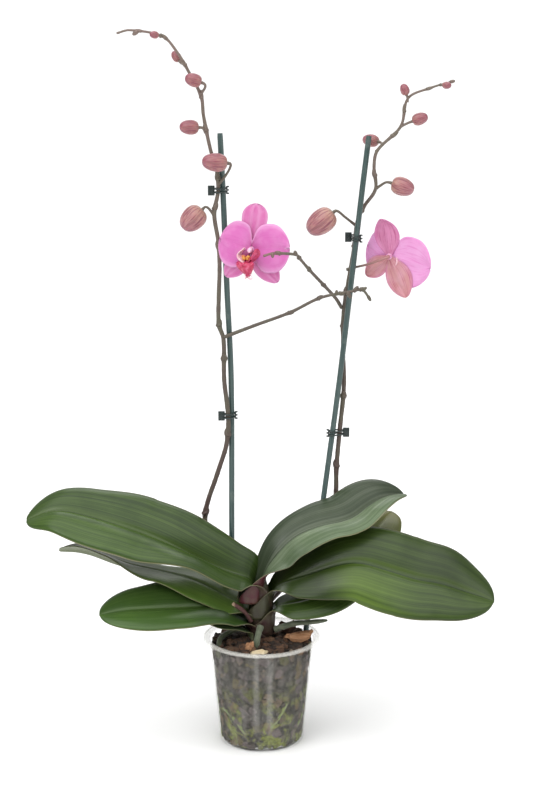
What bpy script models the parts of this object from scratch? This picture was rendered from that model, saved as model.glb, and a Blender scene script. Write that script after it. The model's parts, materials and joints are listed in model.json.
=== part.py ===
"""Potted moth orchid: a clear nursery pot of bark, one plant with two flower spikes, and two clipped stakes.

The origin is the centre of the pot's flat base. +Z is up, and the front of the plant is towards -Y.
Lengths are metres.
"""

import math

import bmesh
import bpy
from mathutils import Matrix, Vector

# The pot: a standard 12 cm thermoformed orchid pot
POT_HEIGHT = 0.112
POT_FLANGE_RADIUS = 0.060
POT_TOP_RADIUS = 0.0535
POT_BASE_RADIUS = 0.0435
POT_WALL = 0.0009
POT_FLOOR = 0.0012
POT_LIP_DEPTH = 0.0025
POT_SHOULDER_DROP = 0.026
DRAIN_HOLES = 6
DRAIN_RADIUS = 0.004
DRAIN_CIRCLE_RADIUS = 0.030

# The mix, the stem, and the clearance between pieces that touch
MIX_TOP = 0.104
MIX_CROWN = 0.112
STEM_FOOT = 0.090
GAP = 0.0003
PETAL_THICKNESS = 0.0008
LEAF_THICKNESS = 0.0022

# The stakes and their clips
STAKE_RADIUS = 0.003
SPIKE_RADIUS = 0.0025
CLIP_WIRE = 0.0007
CLIP_BAND_SPACING = 0.0036
CLIP_PADDLE = (0.0068, 0.0014, 0.0100)
CLIP_TOOTH = (0.0026, 0.0030, 0.0012)
CLIP_TOOTH_PITCH = 0.0034

# Routes, as points in order from the root end to the tip
LEFT_STAKE = [(-0.031, 0.026, 0.020), (-0.031, 0.034, 0.223), (-0.031, 0.035, 0.373), (-0.035, 0.035, 0.472),
              (-0.038, 0.035, 0.557), (-0.041, 0.035, 0.623)]
RIGHT_STAKE = [(0.033, 0.006, 0.022), (0.046, 0.018, 0.110), (0.065, 0.050, 0.249), (0.080, 0.055, 0.368),
               (0.091, 0.057, 0.468), (0.102, 0.061, 0.568), (0.108, 0.065, 0.618)]
LEFT_SPIKE = [(-0.0095, 0.0110, 0.149), (-0.022, 0.018, 0.158), (-0.040, 0.028, 0.175), (-0.055, 0.040, 0.203),
              (-0.059, 0.044, 0.226), (-0.055, 0.041, 0.246), (-0.049, 0.038, 0.264), (-0.043, 0.034, 0.283),
              (-0.036, 0.031, 0.307), (-0.034, 0.030, 0.335), (-0.038, 0.030, 0.375), (-0.0385, 0.030, 0.417),
              (-0.0430, 0.030, 0.432), (-0.043, 0.030, 0.459), (-0.042, 0.030, 0.490), (-0.043, 0.030, 0.515),
              (-0.047, 0.030, 0.544), (-0.043, 0.030, 0.567), (-0.045, 0.030, 0.592), (-0.050, 0.030, 0.606),
              (-0.057, 0.030, 0.641), (-0.059, 0.030, 0.659), (-0.071, 0.030, 0.683), (-0.083, 0.030, 0.703),
              (-0.096, 0.030, 0.717), (-0.128, 0.030, 0.723), (-0.141, 0.030, 0.720)]
RIGHT_SPIKE = [(0.009, 0.011, 0.145), (0.030, 0.038, 0.160), (0.058, 0.058, 0.196), (0.076, 0.060, 0.236),
               (0.078, 0.058, 0.277), (0.081, 0.058, 0.315), (0.085, 0.061, 0.360), (0.084, 0.063, 0.399),
               (0.082, 0.064, 0.437), (0.085, 0.065, 0.472), (0.089, 0.067, 0.502), (0.093, 0.069, 0.531),
               (0.103, 0.068, 0.544), (0.115, 0.061, 0.565), (0.113, 0.057, 0.588), (0.116, 0.056, 0.604),
               (0.139, 0.056, 0.628), (0.146, 0.056, 0.656), (0.168, 0.056, 0.666), (0.188, 0.056, 0.672)]
LEFT_BRANCH = [(-0.038, 0.029, 0.419), (-0.008, 0.027, 0.431), (0.029, 0.026, 0.445), (0.059, 0.025, 0.460),
               (0.089, 0.026, 0.466), (0.101, 0.026, 0.468), (0.107, 0.027, 0.461)]
RIGHT_BRANCH = [(0.082, 0.064, 0.443), (0.075, 0.055, 0.455), (0.049, 0.025, 0.487), (0.038, 0.008, 0.502),
                (0.034, 0.002, 0.507), (0.011, -0.004, 0.509), (0.002, -0.007, 0.507)]

# Buds: name, pedicel route whose last point is the bud's foot, direction of the bud, length and width
LEFT_BUDS = [
    ("left_bud_1", [(-0.047, 0.030, 0.542), (-0.053, 0.028, 0.550), (-0.058, 0.027, 0.549)],
     (-0.72, -0.10, -0.68), 0.0275, 0.0260),
    ("left_bud_2", [(-0.043, 0.030, 0.572), (-0.033, 0.024, 0.586), (-0.033, 0.017, 0.595)],
     (-0.98, -0.15, 0.10), 0.0250, 0.0200),
    ("left_bud_3", [(-0.055, 0.030, 0.624), (-0.061, 0.028, 0.629)], (-1.0, -0.1, 0.05), 0.0190, 0.0160),
    ("left_bud_4", [(-0.060, 0.030, 0.661), (-0.055, 0.024, 0.668), (-0.058, 0.019, 0.673)],
     (-0.93, -0.15, 0.32), 0.0165, 0.0145),
    ("left_bud_5", [(-0.077, 0.030, 0.693), (-0.080, 0.036, 0.693)], (-0.5, 0.45, 0.65), 0.0120, 0.0100),
    ("left_bud_6", [(-0.098, 0.030, 0.717), (-0.100, 0.026, 0.718)], (-0.75, -0.65, 0.15), 0.0095, 0.0080),
]
RIGHT_BUDS = [
    ("right_bud_1", [(0.092, 0.068, 0.528), (0.082, 0.061, 0.539), (0.073, 0.057, 0.542)],
     (-0.80, 0.0, -0.62), 0.0320, 0.0275),
    ("right_bud_2", [(0.115, 0.061, 0.565), (0.124, 0.055, 0.572), (0.130, 0.052, 0.572)],
     (0.95, -0.1, -0.30), 0.0235, 0.0205),
    ("right_bud_3", [(0.115, 0.057, 0.603), (0.121, 0.066, 0.609), (0.118, 0.075, 0.611)],
     (-0.75, 0.60, 0.1), 0.0180, 0.0140),
    ("right_bud_4", [(0.139, 0.056, 0.628), (0.150, 0.054, 0.633)], (0.95, -0.2, 0.35), 0.0160, 0.0135),
    ("right_bud_5", [(0.145, 0.056, 0.652), (0.1445, 0.056, 0.6585)], (-0.35, 0.0, 0.95), 0.0115, 0.0100),
    ("right_bud_6", [(0.178, 0.056, 0.669), (0.180, 0.052, 0.669)], (0.60, -0.75, 0.0), 0.0100, 0.0080),
]

# Flowers: centre, facing, pedicel route, and each part's angle, length, half width, lift and bend
FRONT_FLOWER = dict(
    centre=(-0.010, 0.018, 0.510), facing=(-0.15, -1.0, 0.05),
    pedicel=[(-0.043, 0.030, 0.500), (-0.036, 0.0275, 0.511), (-0.024, 0.030, 0.516)],
    parts=[("dorsal_sepal", 84, 0.040, 0.0135, -0.0012, -0.15), ("left_sepal", 226, 0.035, 0.0110, -0.0012, -0.15),
           ("right_sepal", 308, 0.038, 0.0115, -0.0012, -0.15), ("left_petal", 172, 0.030, 0.0250, 0.0012, -0.16),
           ("right_petal", 2, 0.038, 0.0255, 0.0012, -0.05)])
BACK_FLOWER = dict(
    centre=(0.130, 0.056, 0.4975), facing=(0.45, 0.88, 0.05),
    pedicel=[(0.087, 0.067, 0.482), (0.096, 0.0635, 0.485), (0.108, 0.057, 0.489)],
    parts=[("dorsal_sepal", 84, 0.036, 0.0135, -0.0012, -0.15), ("left_sepal", 243, 0.041, 0.0140, -0.0012, -0.10),
           ("right_sepal", 321, 0.031, 0.0105, -0.0012, 0.10), ("left_petal", 193, 0.042, 0.0260, 0.0012, -0.05),
           ("right_petal", 18, 0.026, 0.0220, 0.0012, 0.35)])

# Leaves: midrib route, greatest half width, half width at the foot, place of the greatest width, how soon the
# leaf swells, and the slopes in degrees of the near half (down to the front) and the far half (up to the back)
LEAVES = [
    dict(name="leaf_left_upper", half_width=0.044, foot=0.014, widest=0.50, swell=0.65,
         midrib=[(-0.0097, 0.000, 0.172), (-0.030, 0.000, 0.178), (-0.065, 0.002, 0.193), (-0.105, 0.006, 0.212),
                 (-0.147, 0.012, 0.226), (-0.187, 0.018, 0.236), (-0.213, 0.021, 0.239), (-0.242, 0.024, 0.227)],
         near=(-10, -5, 17, 22, 22), far=(60, 58, 43, 30, 25)),
    dict(name="leaf_left_middle", half_width=0.032, foot=0.010, widest=0.50, swell=0.9,
         midrib=[(-0.0135, 0.002, 0.138), (-0.040, 0.006, 0.154), (-0.070, 0.010, 0.168), (-0.105, 0.014, 0.176),
                 (-0.146, 0.020, 0.183), (-0.184, 0.028, 0.194), (-0.210, 0.034, 0.192)],
         near=(-5, -15, -30, -30, -30), far=(0, -5, -5, 0, 10)),
    dict(name="leaf_left_lower", half_width=0.036, foot=0.008, widest=0.55, swell=0.9,
         midrib=[(-0.0145, -0.001, 0.126), (-0.033, -0.003, 0.138), (-0.056, -0.008, 0.144),
                 (-0.082, -0.014, 0.145), (-0.107, -0.020, 0.146), (-0.141, -0.028, 0.147),
                 (-0.163, -0.034, 0.145)],
         near=(0, 5, 12, 15, 15), far=(20, 25, 30, 25, 20)),
    dict(name="leaf_left_remnant", half_width=0.008, foot=0.005, widest=0.50, swell=0.9,
         midrib=[(-0.0122, -0.0078, 0.118), (-0.030, -0.015, 0.127), (-0.052, -0.021, 0.131)],
         near=(10, 10, 10, 10, 10), far=(20, 20, 20, 20, 20)),
    dict(name="leaf_right_upper", half_width=0.035, foot=0.008, widest=0.60, swell=1.6,
         midrib=[(0.003, 0.000, 0.1773), (0.017, 0.003, 0.200), (0.036, 0.008, 0.216), (0.060, 0.013, 0.224),
                 (0.081, 0.020, 0.226), (0.096, 0.028, 0.229), (0.111, 0.038, 0.238), (0.127, 0.048, 0.244),
                 (0.149, 0.060, 0.244)],
         near=(20, 22, 2, -12, -15), far=(40, 32, 35, 38, 35)),
    dict(name="leaf_right_middle", half_width=0.046, foot=0.010, widest=0.60, swell=0.8,
         midrib=[(0.0115, -0.003, 0.163), (0.048, -0.005, 0.179), (0.080, -0.008, 0.191), (0.100, -0.010, 0.194),
                 (0.120, -0.012, 0.189), (0.140, -0.014, 0.183), (0.161, -0.016, 0.177), (0.180, -0.018, 0.175),
                 (0.201, -0.020, 0.168), (0.222, -0.022, 0.161), (0.235, -0.024, 0.156)],
         near=(20, 50, 50, 42, 35), far=(40, 45, 48, 42, 30)),
    dict(name="leaf_right_lower", half_width=0.031, foot=0.009, widest=0.50, swell=0.9,
         midrib=[(0.0125, -0.004, 0.143), (0.039, -0.008, 0.151), (0.065, -0.002, 0.160), (0.088, 0.020, 0.175),
                 (0.108, 0.050, 0.192), (0.127, 0.085, 0.207), (0.140, 0.110, 0.211)],
         near=(15, 20, 20, 15, 10), far=(20, 20, 20, 15, 10)),
]

# Roots: name, route and radius
AERIAL_ROOTS = [
    ("aerial_root_right", [(0.0136, -0.006, 0.120), (0.034, -0.010, 0.128), (0.050, -0.012, 0.130),
                           (0.069, -0.012, 0.132)], 0.0034),
    ("aerial_root_front", [(-0.001, -0.0165, 0.127), (-0.003, -0.022, 0.122), (-0.005, -0.027, 0.113),
                           (-0.005, -0.030, 0.096)], 0.0034),
    ("aerial_root_left", [(-0.0160, 0.006, 0.118), (-0.030, 0.002, 0.1155), (-0.043, -0.010, 0.1100),
                          (-0.041, -0.024, 0.098)], 0.0030),
]
# Roots against the pot wall: name, degrees round from the front towards +X, and height, at each end, and the bow
POT_ROOTS = [
    ("pot_root_front_right", 34, 0.052, 6, 0.024, -0.004),
    ("pot_root_front_left", -62, 0.040, -20, 0.016, 0.006),
    ("pot_root_right", 88, 0.060, 52, 0.020, -0.010),
    ("pot_root_left", -96, 0.068, -72, 0.018, 0.008),
]
POT_ROOT_RADIUS = 0.0024


def clear_scene():
    for found in list(bpy.data.objects):
        bpy.data.objects.remove(found, do_unlink=True)


def collection(name, hidden=False):
    made = bpy.data.collections.new(name)
    made.hide_render = hidden
    bpy.context.scene.collection.children.link(made)
    return made


def material(name, colour, roughness, metallic=0.0):
    made = bpy.data.materials.new(name)
    made.use_nodes = True
    shader = made.node_tree.nodes["Principled BSDF"]
    shader.inputs["Base Color"].default_value = (*colour, 1.0)
    shader.inputs["Roughness"].default_value = roughness
    shader.inputs["Metallic"].default_value = metallic
    return made


def add(name, mesh, finish, group):
    made = bpy.data.objects.new(name, mesh)
    if finish:
        mesh.materials.append(finish)
    group.objects.link(made)
    return made


def as_cutter(made):
    made.hide_render = True
    made.display_type = "WIRE"
    return made


def boolean(target, other, operation):
    cut = target.modifiers.new(f"{operation.lower()} {other.name}", "BOOLEAN")
    cut.operation = operation
    cut.object = other
    cut.solver = "EXACT"


def spline_at(points, place):
    """The point at a place from 0 to 1 along a smooth curve through the points, by chord length."""
    points = [Vector(point) for point in points]
    reach = [0.0]
    for first, second in zip(points, points[1:]):
        reach.append(reach[-1] + (second - first).length)
    wanted = place * reach[-1]
    span = max(i for i in range(len(points) - 1) if reach[i] <= wanted or i == 0)
    start, end = points[span], points[span + 1]
    length = reach[span + 1] - reach[span]

    def slope(i):
        low, high = max(i - 1, 0), min(i + 1, len(points) - 1)
        return (points[high] - points[low]) / (reach[high] - reach[low])

    t = (wanted - reach[span]) / length
    return (start * (2 * t**3 - 3 * t**2 + 1) + slope(span) * length * (t**3 - 2 * t**2 + t)
            + end * (3 * t**2 - 2 * t**3) + slope(span + 1) * length * (t**3 - t**2))


def smooth(points, count):
    return [spline_at(points, i / (count - 1)) for i in range(count)]


def at_height(points, height):
    """Where a rising route passes a height."""
    low, high = 0.0, 1.0
    for _ in range(30):
        middle = (low + high) / 2
        if spline_at(points, middle).z < height:
            low = middle
        else:
            high = middle
    return spline_at(points, low)


def tube(name, points, radii, finish, group, sides=6, cyclic=False):
    """A capped tube as a mesh. radii holds the radius at the first and the last point."""
    curve = bpy.data.curves.new(name, "CURVE")
    curve.dimensions = "3D"
    curve.bevel_depth = 1.0
    curve.bevel_resolution = (sides - 4) // 2
    curve.use_fill_caps = True
    spline = curve.splines.new("POLY")
    spline.points.add(len(points) - 1)
    spline.use_cyclic_u = cyclic
    for i, (place, target) in enumerate(zip(points, spline.points)):
        target.co = (*place, 1.0)
        target.radius = radii[0] + (radii[1] - radii[0]) * i / (len(points) - 1)
    drawn = bpy.data.objects.new(name, curve)
    group.objects.link(drawn)
    bpy.context.view_layer.update()
    evaluated = drawn.evaluated_get(bpy.context.evaluated_depsgraph_get())
    mesh = bpy.data.meshes.new_from_object(evaluated)
    shape = bmesh.new()
    shape.from_mesh(mesh)
    bmesh.ops.remove_doubles(shape, verts=shape.verts, dist=1e-6)
    bmesh.ops.recalc_face_normals(shape, faces=shape.faces)
    shape.to_mesh(mesh)
    shape.free()
    place = drawn.matrix_world.copy()
    bpy.data.objects.remove(drawn, do_unlink=True)
    mesh.shade_smooth()
    mesh.set_sharp_from_angle(angle=math.radians(60))
    made = add(name, mesh, finish, group)
    made.matrix_world = place
    return made


def block(name, size, place, turn, finish, group, bevel=0.0):
    """A box of a size, at a place, turned by Euler angles in degrees."""
    mesh = bpy.data.meshes.new(name)
    shape = bmesh.new()
    bmesh.ops.create_cube(shape, size=1.0, matrix=Matrix.Diagonal((*size, 1.0)))
    shape.to_mesh(mesh)
    shape.free()
    made = add(name, mesh, finish, group)
    made.location = place
    made.rotation_euler = [math.radians(angle) for angle in turn]
    if bevel:
        rounding = made.modifiers.new("worn edges", "BEVEL")
        rounding.width = bevel
        rounding.segments = 1
    return made


def turned(name, profile, steps, finish, group):
    """A solid turned about Z from a profile of (radius, height), its outer side running downwards."""
    mesh = bpy.data.meshes.new(name)
    corners = [(radius, 0.0, height) for radius, height in profile]
    mesh.from_pydata(corners, [(i, i + 1) for i in range(len(corners) - 1)], [])
    made = add(name, mesh, finish, group)
    screw = made.modifiers.new("turn", "SCREW")
    screw.steps = screw.render_steps = steps
    screw.use_merge_vertices = True
    screw.merge_threshold = 1e-5
    return made


def sheet(name, rows, thickness, finish, group):
    """A thin solid on a grid of points, each row running across it."""
    mesh = bpy.data.meshes.new(name)
    across = len(rows[0])
    corners = [point for row in rows for point in row]
    faces = [(i * across + j, i * across + j + 1, (i + 1) * across + j + 1, (i + 1) * across + j)
             for i in range(len(rows) - 1) for j in range(across - 1)]
    mesh.from_pydata(corners, [], faces)
    mesh.shade_smooth()
    made = add(name, mesh, finish, group)
    shell = made.modifiers.new("thickness", "SOLIDIFY")
    shell.thickness = thickness
    shell.offset = 0.0
    return made


def mix(values, place):
    """A value read at a place from 0 to 1 along evenly spaced values."""
    at = place * (len(values) - 1)
    low = min(int(at), len(values) - 2)
    return values[low] + (values[low + 1] - values[low]) * (at - low)


# ---- pot ----

def wall_radius(height):
    """The inner radius of the pot wall at a height."""
    outer = POT_BASE_RADIUS + (POT_TOP_RADIUS - POT_BASE_RADIUS) * height / POT_HEIGHT
    return outer - POT_WALL


def make_pot(finish, group, cutters):
    shoulder = POT_HEIGHT - POT_SHOULDER_DROP
    corner = 0.003
    step = 0.0006
    profile = [(0.0, POT_FLOOR), (wall_radius(0) - corner / 2, POT_FLOOR),
               (wall_radius(corner), corner + POT_FLOOR / 2), (wall_radius(shoulder), shoulder),
               (wall_radius(shoulder) + step, shoulder + step), (wall_radius(POT_HEIGHT) + step, POT_HEIGHT - step),
               (wall_radius(POT_HEIGHT) + 2 * step, POT_HEIGHT), (POT_FLANGE_RADIUS - step, POT_HEIGHT),
               (POT_FLANGE_RADIUS, POT_HEIGHT - step), (POT_FLANGE_RADIUS, POT_HEIGHT - POT_LIP_DEPTH),
               (POT_FLANGE_RADIUS - POT_WALL, POT_HEIGHT - POT_LIP_DEPTH),
               (POT_FLANGE_RADIUS - POT_WALL, POT_HEIGHT - POT_WALL - step / 2),
               (wall_radius(POT_HEIGHT) + POT_WALL + step, POT_HEIGHT - POT_WALL - step / 2),
               (wall_radius(shoulder) + POT_WALL + step, shoulder + step),
               (wall_radius(shoulder) + POT_WALL, shoulder), (wall_radius(corner) + POT_WALL, corner),
               (wall_radius(0) + POT_WALL - corner / 2, corner / 4), (wall_radius(0) - corner / 2, 0.0), (0.0, 0.0)]
    pot = turned("nursery_pot", profile, 48, finish, group)
    for i in range(DRAIN_HOLES):
        angle = math.tau * (i + 0.5) / DRAIN_HOLES
        mesh = bpy.data.meshes.new("drain hole")
        shape = bmesh.new()
        bmesh.ops.create_cone(shape, cap_ends=True, segments=12, radius1=DRAIN_RADIUS, radius2=DRAIN_RADIUS,
                              depth=4 * POT_FLOOR)
        shape.to_mesh(mesh)
        shape.free()
        hole = as_cutter(add(f"drain_cutter_{i + 1}", mesh, None, cutters))
        hole.location = (DRAIN_CIRCLE_RADIUS * math.cos(angle), DRAIN_CIRCLE_RADIUS * math.sin(angle), 0.0)
        boolean(pot, hole, "DIFFERENCE")
    return pot


def pot_root_route(start_angle, start_height, end_angle, end_height, bow):
    route = []
    for i in range(7):
        share = i / 6
        angle = math.radians(start_angle + (end_angle - start_angle) * share)
        height = start_height + (end_height - start_height) * share + bow * math.sin(math.pi * share)
        radius = wall_radius(height) - POT_ROOT_RADIUS - 2 * GAP
        route.append((radius * math.sin(angle), -radius * math.cos(angle), height))
    return route


def make_mix(finish, group, cutters, buried):
    """The bark as one body, with a bore for each thing that goes into it."""
    foot = POT_FLOOR + 2 * GAP
    profile = [(0.0, MIX_CROWN), (0.020, MIX_CROWN - 0.001), (0.036, MIX_TOP + 0.003),
               (wall_radius(MIX_TOP) - 2 * GAP, MIX_TOP - 0.002), (wall_radius(0.004) - 2 * GAP, 0.004),
               (wall_radius(0) - 0.0025, foot), (0.0, foot)]
    body = turned("potting_mix", profile, 40, finish, group)
    for name, points, radius, sides in buried:
        first, last = Vector(points[0]), Vector(points[-1])
        longer = [first + (first - Vector(points[1])).normalized() * 2 * GAP, *points[1:-1],
                  last + (last - Vector(points[-2])).normalized() * 2 * GAP]
        bore = tube(f"{name}_bore", longer, (radius + GAP, radius + GAP), None, cutters, sides)
        boolean(body, as_cutter(bore), "DIFFERENCE")
    return body


# ---- plant ----

def make_stem(finish, group):
    profile = [(0.0, 0.1765), (0.0055, 0.1755), (0.0095, 0.171), (0.0110, 0.160), (0.0122, 0.142),
               (0.0132, 0.125), (0.0125, 0.112), (0.0108, 0.102), (0.0100, STEM_FOOT), (0.0, STEM_FOOT)]
    return turned("plant_stem", profile, 16, finish, group)


def leaf_half_width(place, widest, foot, most, swell):
    """A strap leaf's outline: it swells from its folded foot and ends in a round tip."""
    if place < widest:
        return foot + (most - foot) * math.sin(math.pi / 2 * place / widest) ** swell
    past = (place - widest) / (1 - widest)
    return max(most * math.sqrt(1 - past**2.4), 0.002)


def make_leaf(spec, finish, group):
    stations = 13
    rows = []
    for i in range(stations):
        place = 1 - (1 - i / (stations - 1)) ** 1.35
        here = spline_at(spec["midrib"], place)
        along = (spline_at(spec["midrib"], min(place + 0.01, 1)) - spline_at(spec["midrib"], max(place - 0.01, 0)))
        near_side = along.cross(Vector((0, 0, 1))).normalized()
        if near_side.y > 0:
            near_side = -near_side
        rise = near_side.cross(along).normalized()
        rise *= 1 if rise.z > 0 else -1
        width = leaf_half_width(place, spec["widest"], spec["foot"], spec["half_width"], spec["swell"])
        near, far = math.radians(mix(spec["near"], place)), math.radians(mix(spec["far"], place))
        to_near = near_side * math.cos(near) - rise * math.sin(near)
        to_far = -near_side * math.cos(far) + rise * math.sin(far)
        rows.append([here + to_far * width, here + to_far * width / 2, here, here + to_near * width / 2,
                     here + to_near * width])
    return sheet(spec["name"], rows, LEAF_THICKNESS, finish, group)


def make_bud(name, foot, direction, length, width, finish, group):
    """A plump bud on the end of its pedicel."""
    turn = Vector(direction).to_track_quat("Z", "Y").to_matrix().to_4x4()
    centre = Vector(foot) + Vector(direction).normalized() * (length / 2 + 2 * GAP)
    mesh = bpy.data.meshes.new(name)
    shape = bmesh.new()
    size = Matrix.Diagonal((width / 2, width / 2, length / 2, 1.0))
    bmesh.ops.create_uvsphere(shape, u_segments=10, v_segments=7, radius=1.0,
                              matrix=Matrix.Translation(centre) @ turn @ size)
    shape.to_mesh(mesh)
    shape.free()
    mesh.shade_smooth()
    return add(name, mesh, finish, group)


def bud_stalk(bud):
    """A pedicel that turns into its bud's direction just before the bud."""
    _, route, direction, _, _ = bud
    foot = Vector(route[-1])
    return route[:-1] + [foot - Vector(direction).normalized() * 0.003, foot]


def make_spike(name, main, branch, stalks, tip_buds, finish, group, cutters):
    """A flower spike, grown in one piece with its side branch, its pedicels and the smallest buds."""
    spike = tube(name, smooth(main, 44), (SPIKE_RADIUS, 0.0012), finish, group)
    pieces = [tube(f"{name}_branch", smooth(branch, 14), (0.0019, 0.0012), None, cutters)]
    for i, stalk in enumerate(stalks):
        pieces.append(tube(f"{name}_stalk_{i + 1}", smooth(stalk, 8), (0.0014, 0.0011), None, cutters))
    for i, (foot, direction, length, width) in enumerate(tip_buds):
        back = Vector(foot) - Vector(direction).normalized() * 0.0015
        pieces.append(make_bud(f"{name}_tip_bud_{i + 1}", back, direction, length, width, None, cutters))
    for piece in pieces:
        boolean(spike, as_cutter(piece), "UNION")
    return spike


# ---- flowers ----

def flower_frame(flower):
    """The flower's centre and its right, up and facing directions, as seen by whoever it faces."""
    facing = Vector(flower["facing"]).normalized()
    right = Vector((0, 0, 1)).cross(facing).normalized()
    return Vector(flower["centre"]), right, facing.cross(right), facing


def make_petal(name, flower, angle, length, half_width, lift, bend, finish, group):
    centre, right, up, facing = flower_frame(flower)
    outward = right * math.cos(math.radians(angle)) + up * math.sin(math.radians(angle))
    aside = facing.cross(outward)
    start, claw = 0.0040, 0.0015
    rows = []
    for i in range(7):
        place = 1 - (1 - i / 6) ** 1.2
        width = claw + (half_width - claw) * math.sin(math.pi * place**1.15) ** 0.7 if 0 < i < 6 else claw
        middle = centre + outward * (start + length * place) + facing * (lift + bend * length * place**2)
        rows.append([middle + aside * width * share for share in (-1, -0.5, 0, 0.5, 1)])
    return sheet(name, rows, PETAL_THICKNESS, finish, group)


def make_lip(name, flower, finish, group):
    """The lip: side lobes that rise beside the column, a narrow waist, and an arrow-shaped middle lobe."""
    centre, right, up, facing = flower_frame(flower)
    # distance forward, distance down, half width, rise of the edges
    stations = [(0.0050, 0.0030, 0.0020, 0.0010), (0.0075, 0.0065, 0.0060, 0.0060), (0.0100, 0.0100, 0.0070, 0.0075),
                (0.0125, 0.0140, 0.0035, 0.0015), (0.0130, 0.0185, 0.0095, -0.0010), (0.0115, 0.0240, 0.0060, 0.0),
                (0.0100, 0.0290, 0.0010, 0.0)]
    rows = []
    for forward, down, width, rise in stations:
        middle = centre + facing * forward - up * down
        rows.append([middle + right * width * share + (facing + up).normalized() * rise * share * share
                     for share in (-1, -0.5, 0, 0.5, 1)])
    return sheet(name, rows, 0.0010, finish, group)


def make_column(name, flower, finish, group, cutters):
    """The column on its round foot, which the sepals and petals grow from."""
    centre, right, up, facing = flower_frame(flower)
    foot = tube(name, [centre - facing * 0.0035, centre + facing * 0.0030], (0.0034, 0.0034), finish, group, 10)
    rod = smooth([centre, centre + facing * 0.007 + up * 0.0005, centre + facing * 0.0115 - up * 0.0015], 5)
    boolean(foot, as_cutter(tube(f"{name}_rod", rod, (0.0024, 0.0026), None, cutters)), "UNION")
    return foot


def flower_stalk(flower):
    """The pedicel's route, ended just behind the column's foot."""
    centre, right, up, facing = flower_frame(flower)
    return flower["pedicel"] + [centre - facing * 0.0070, centre - facing * (0.0035 + 2.5 * GAP)]


# ---- clips ----

def clip_loop(first, second, height, reach):
    """A closed outline at a height, at a distance outside two round stems."""
    first, second = Vector(first[:2]), Vector(second[:2])
    heading = math.atan2(*(second - first).yx)
    points = []
    for centre, start in ((second, -90), (first, 90)):
        for step in range(5):
            angle = heading + math.radians(start + 45 * step)
            points.append((centre.x + reach * math.cos(angle), centre.y + reach * math.sin(angle), height))
    return points


def make_clip(name, spike, stake, height, paddle_side, finish, group, cutters):
    """A spring clip: two wire bands round the spike and its stake, a thumb paddle, and a row of teeth."""
    stem, rod = at_height(spike, height), at_height(stake, height)
    reach = STAKE_RADIUS + CLIP_WIRE + 1.5 * GAP
    loops = []
    for i, side in enumerate((-0.5, 0.5)):
        outline = clip_loop(stem, rod, height + side * CLIP_BAND_SPACING, reach)
        loops.append(tube(f"{name}_band_{i + 1}", outline, (CLIP_WIRE, CLIP_WIRE), None, cutters, 4, cyclic=True))
    ends = sorted((point[0] for point in outline))
    paddle_x = ends[0] if paddle_side < 0 else ends[-1]
    tooth_x = ends[-1] if paddle_side < 0 else ends[0]
    middle_y = (stem.y + rod.y) / 2
    paddle_y = min((point for point in outline), key=lambda point: abs(point[0] - paddle_x))[1]
    tooth_y = min((point for point in outline), key=lambda point: abs(point[0] - tooth_x))[1]
    paddle = block(name, CLIP_PADDLE, (paddle_x + paddle_side * CLIP_PADDLE[0] * 0.42, paddle_y, height),
                   (0, 0, 0), finish, group)
    pieces = loops
    for step in (-1, 0, 1):
        place = (tooth_x - paddle_side * CLIP_TOOTH[0] * 0.35, tooth_y, height + step * CLIP_TOOTH_PITCH)
        pieces.append(block(f"{name}_tooth_{step + 2}", CLIP_TOOTH, place, (0, 0, 0), None, cutters))
    bar = (CLIP_WIRE * 2, CLIP_WIRE * 2, 2 * CLIP_TOOTH_PITCH + CLIP_TOOTH[2])
    pieces.append(block(f"{name}_tooth_bar", bar, (tooth_x, tooth_y, height), (0, 0, 0), None, cutters))
    for piece in pieces:
        boolean(paddle, as_cutter(piece), "UNION")
    return paddle


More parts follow.
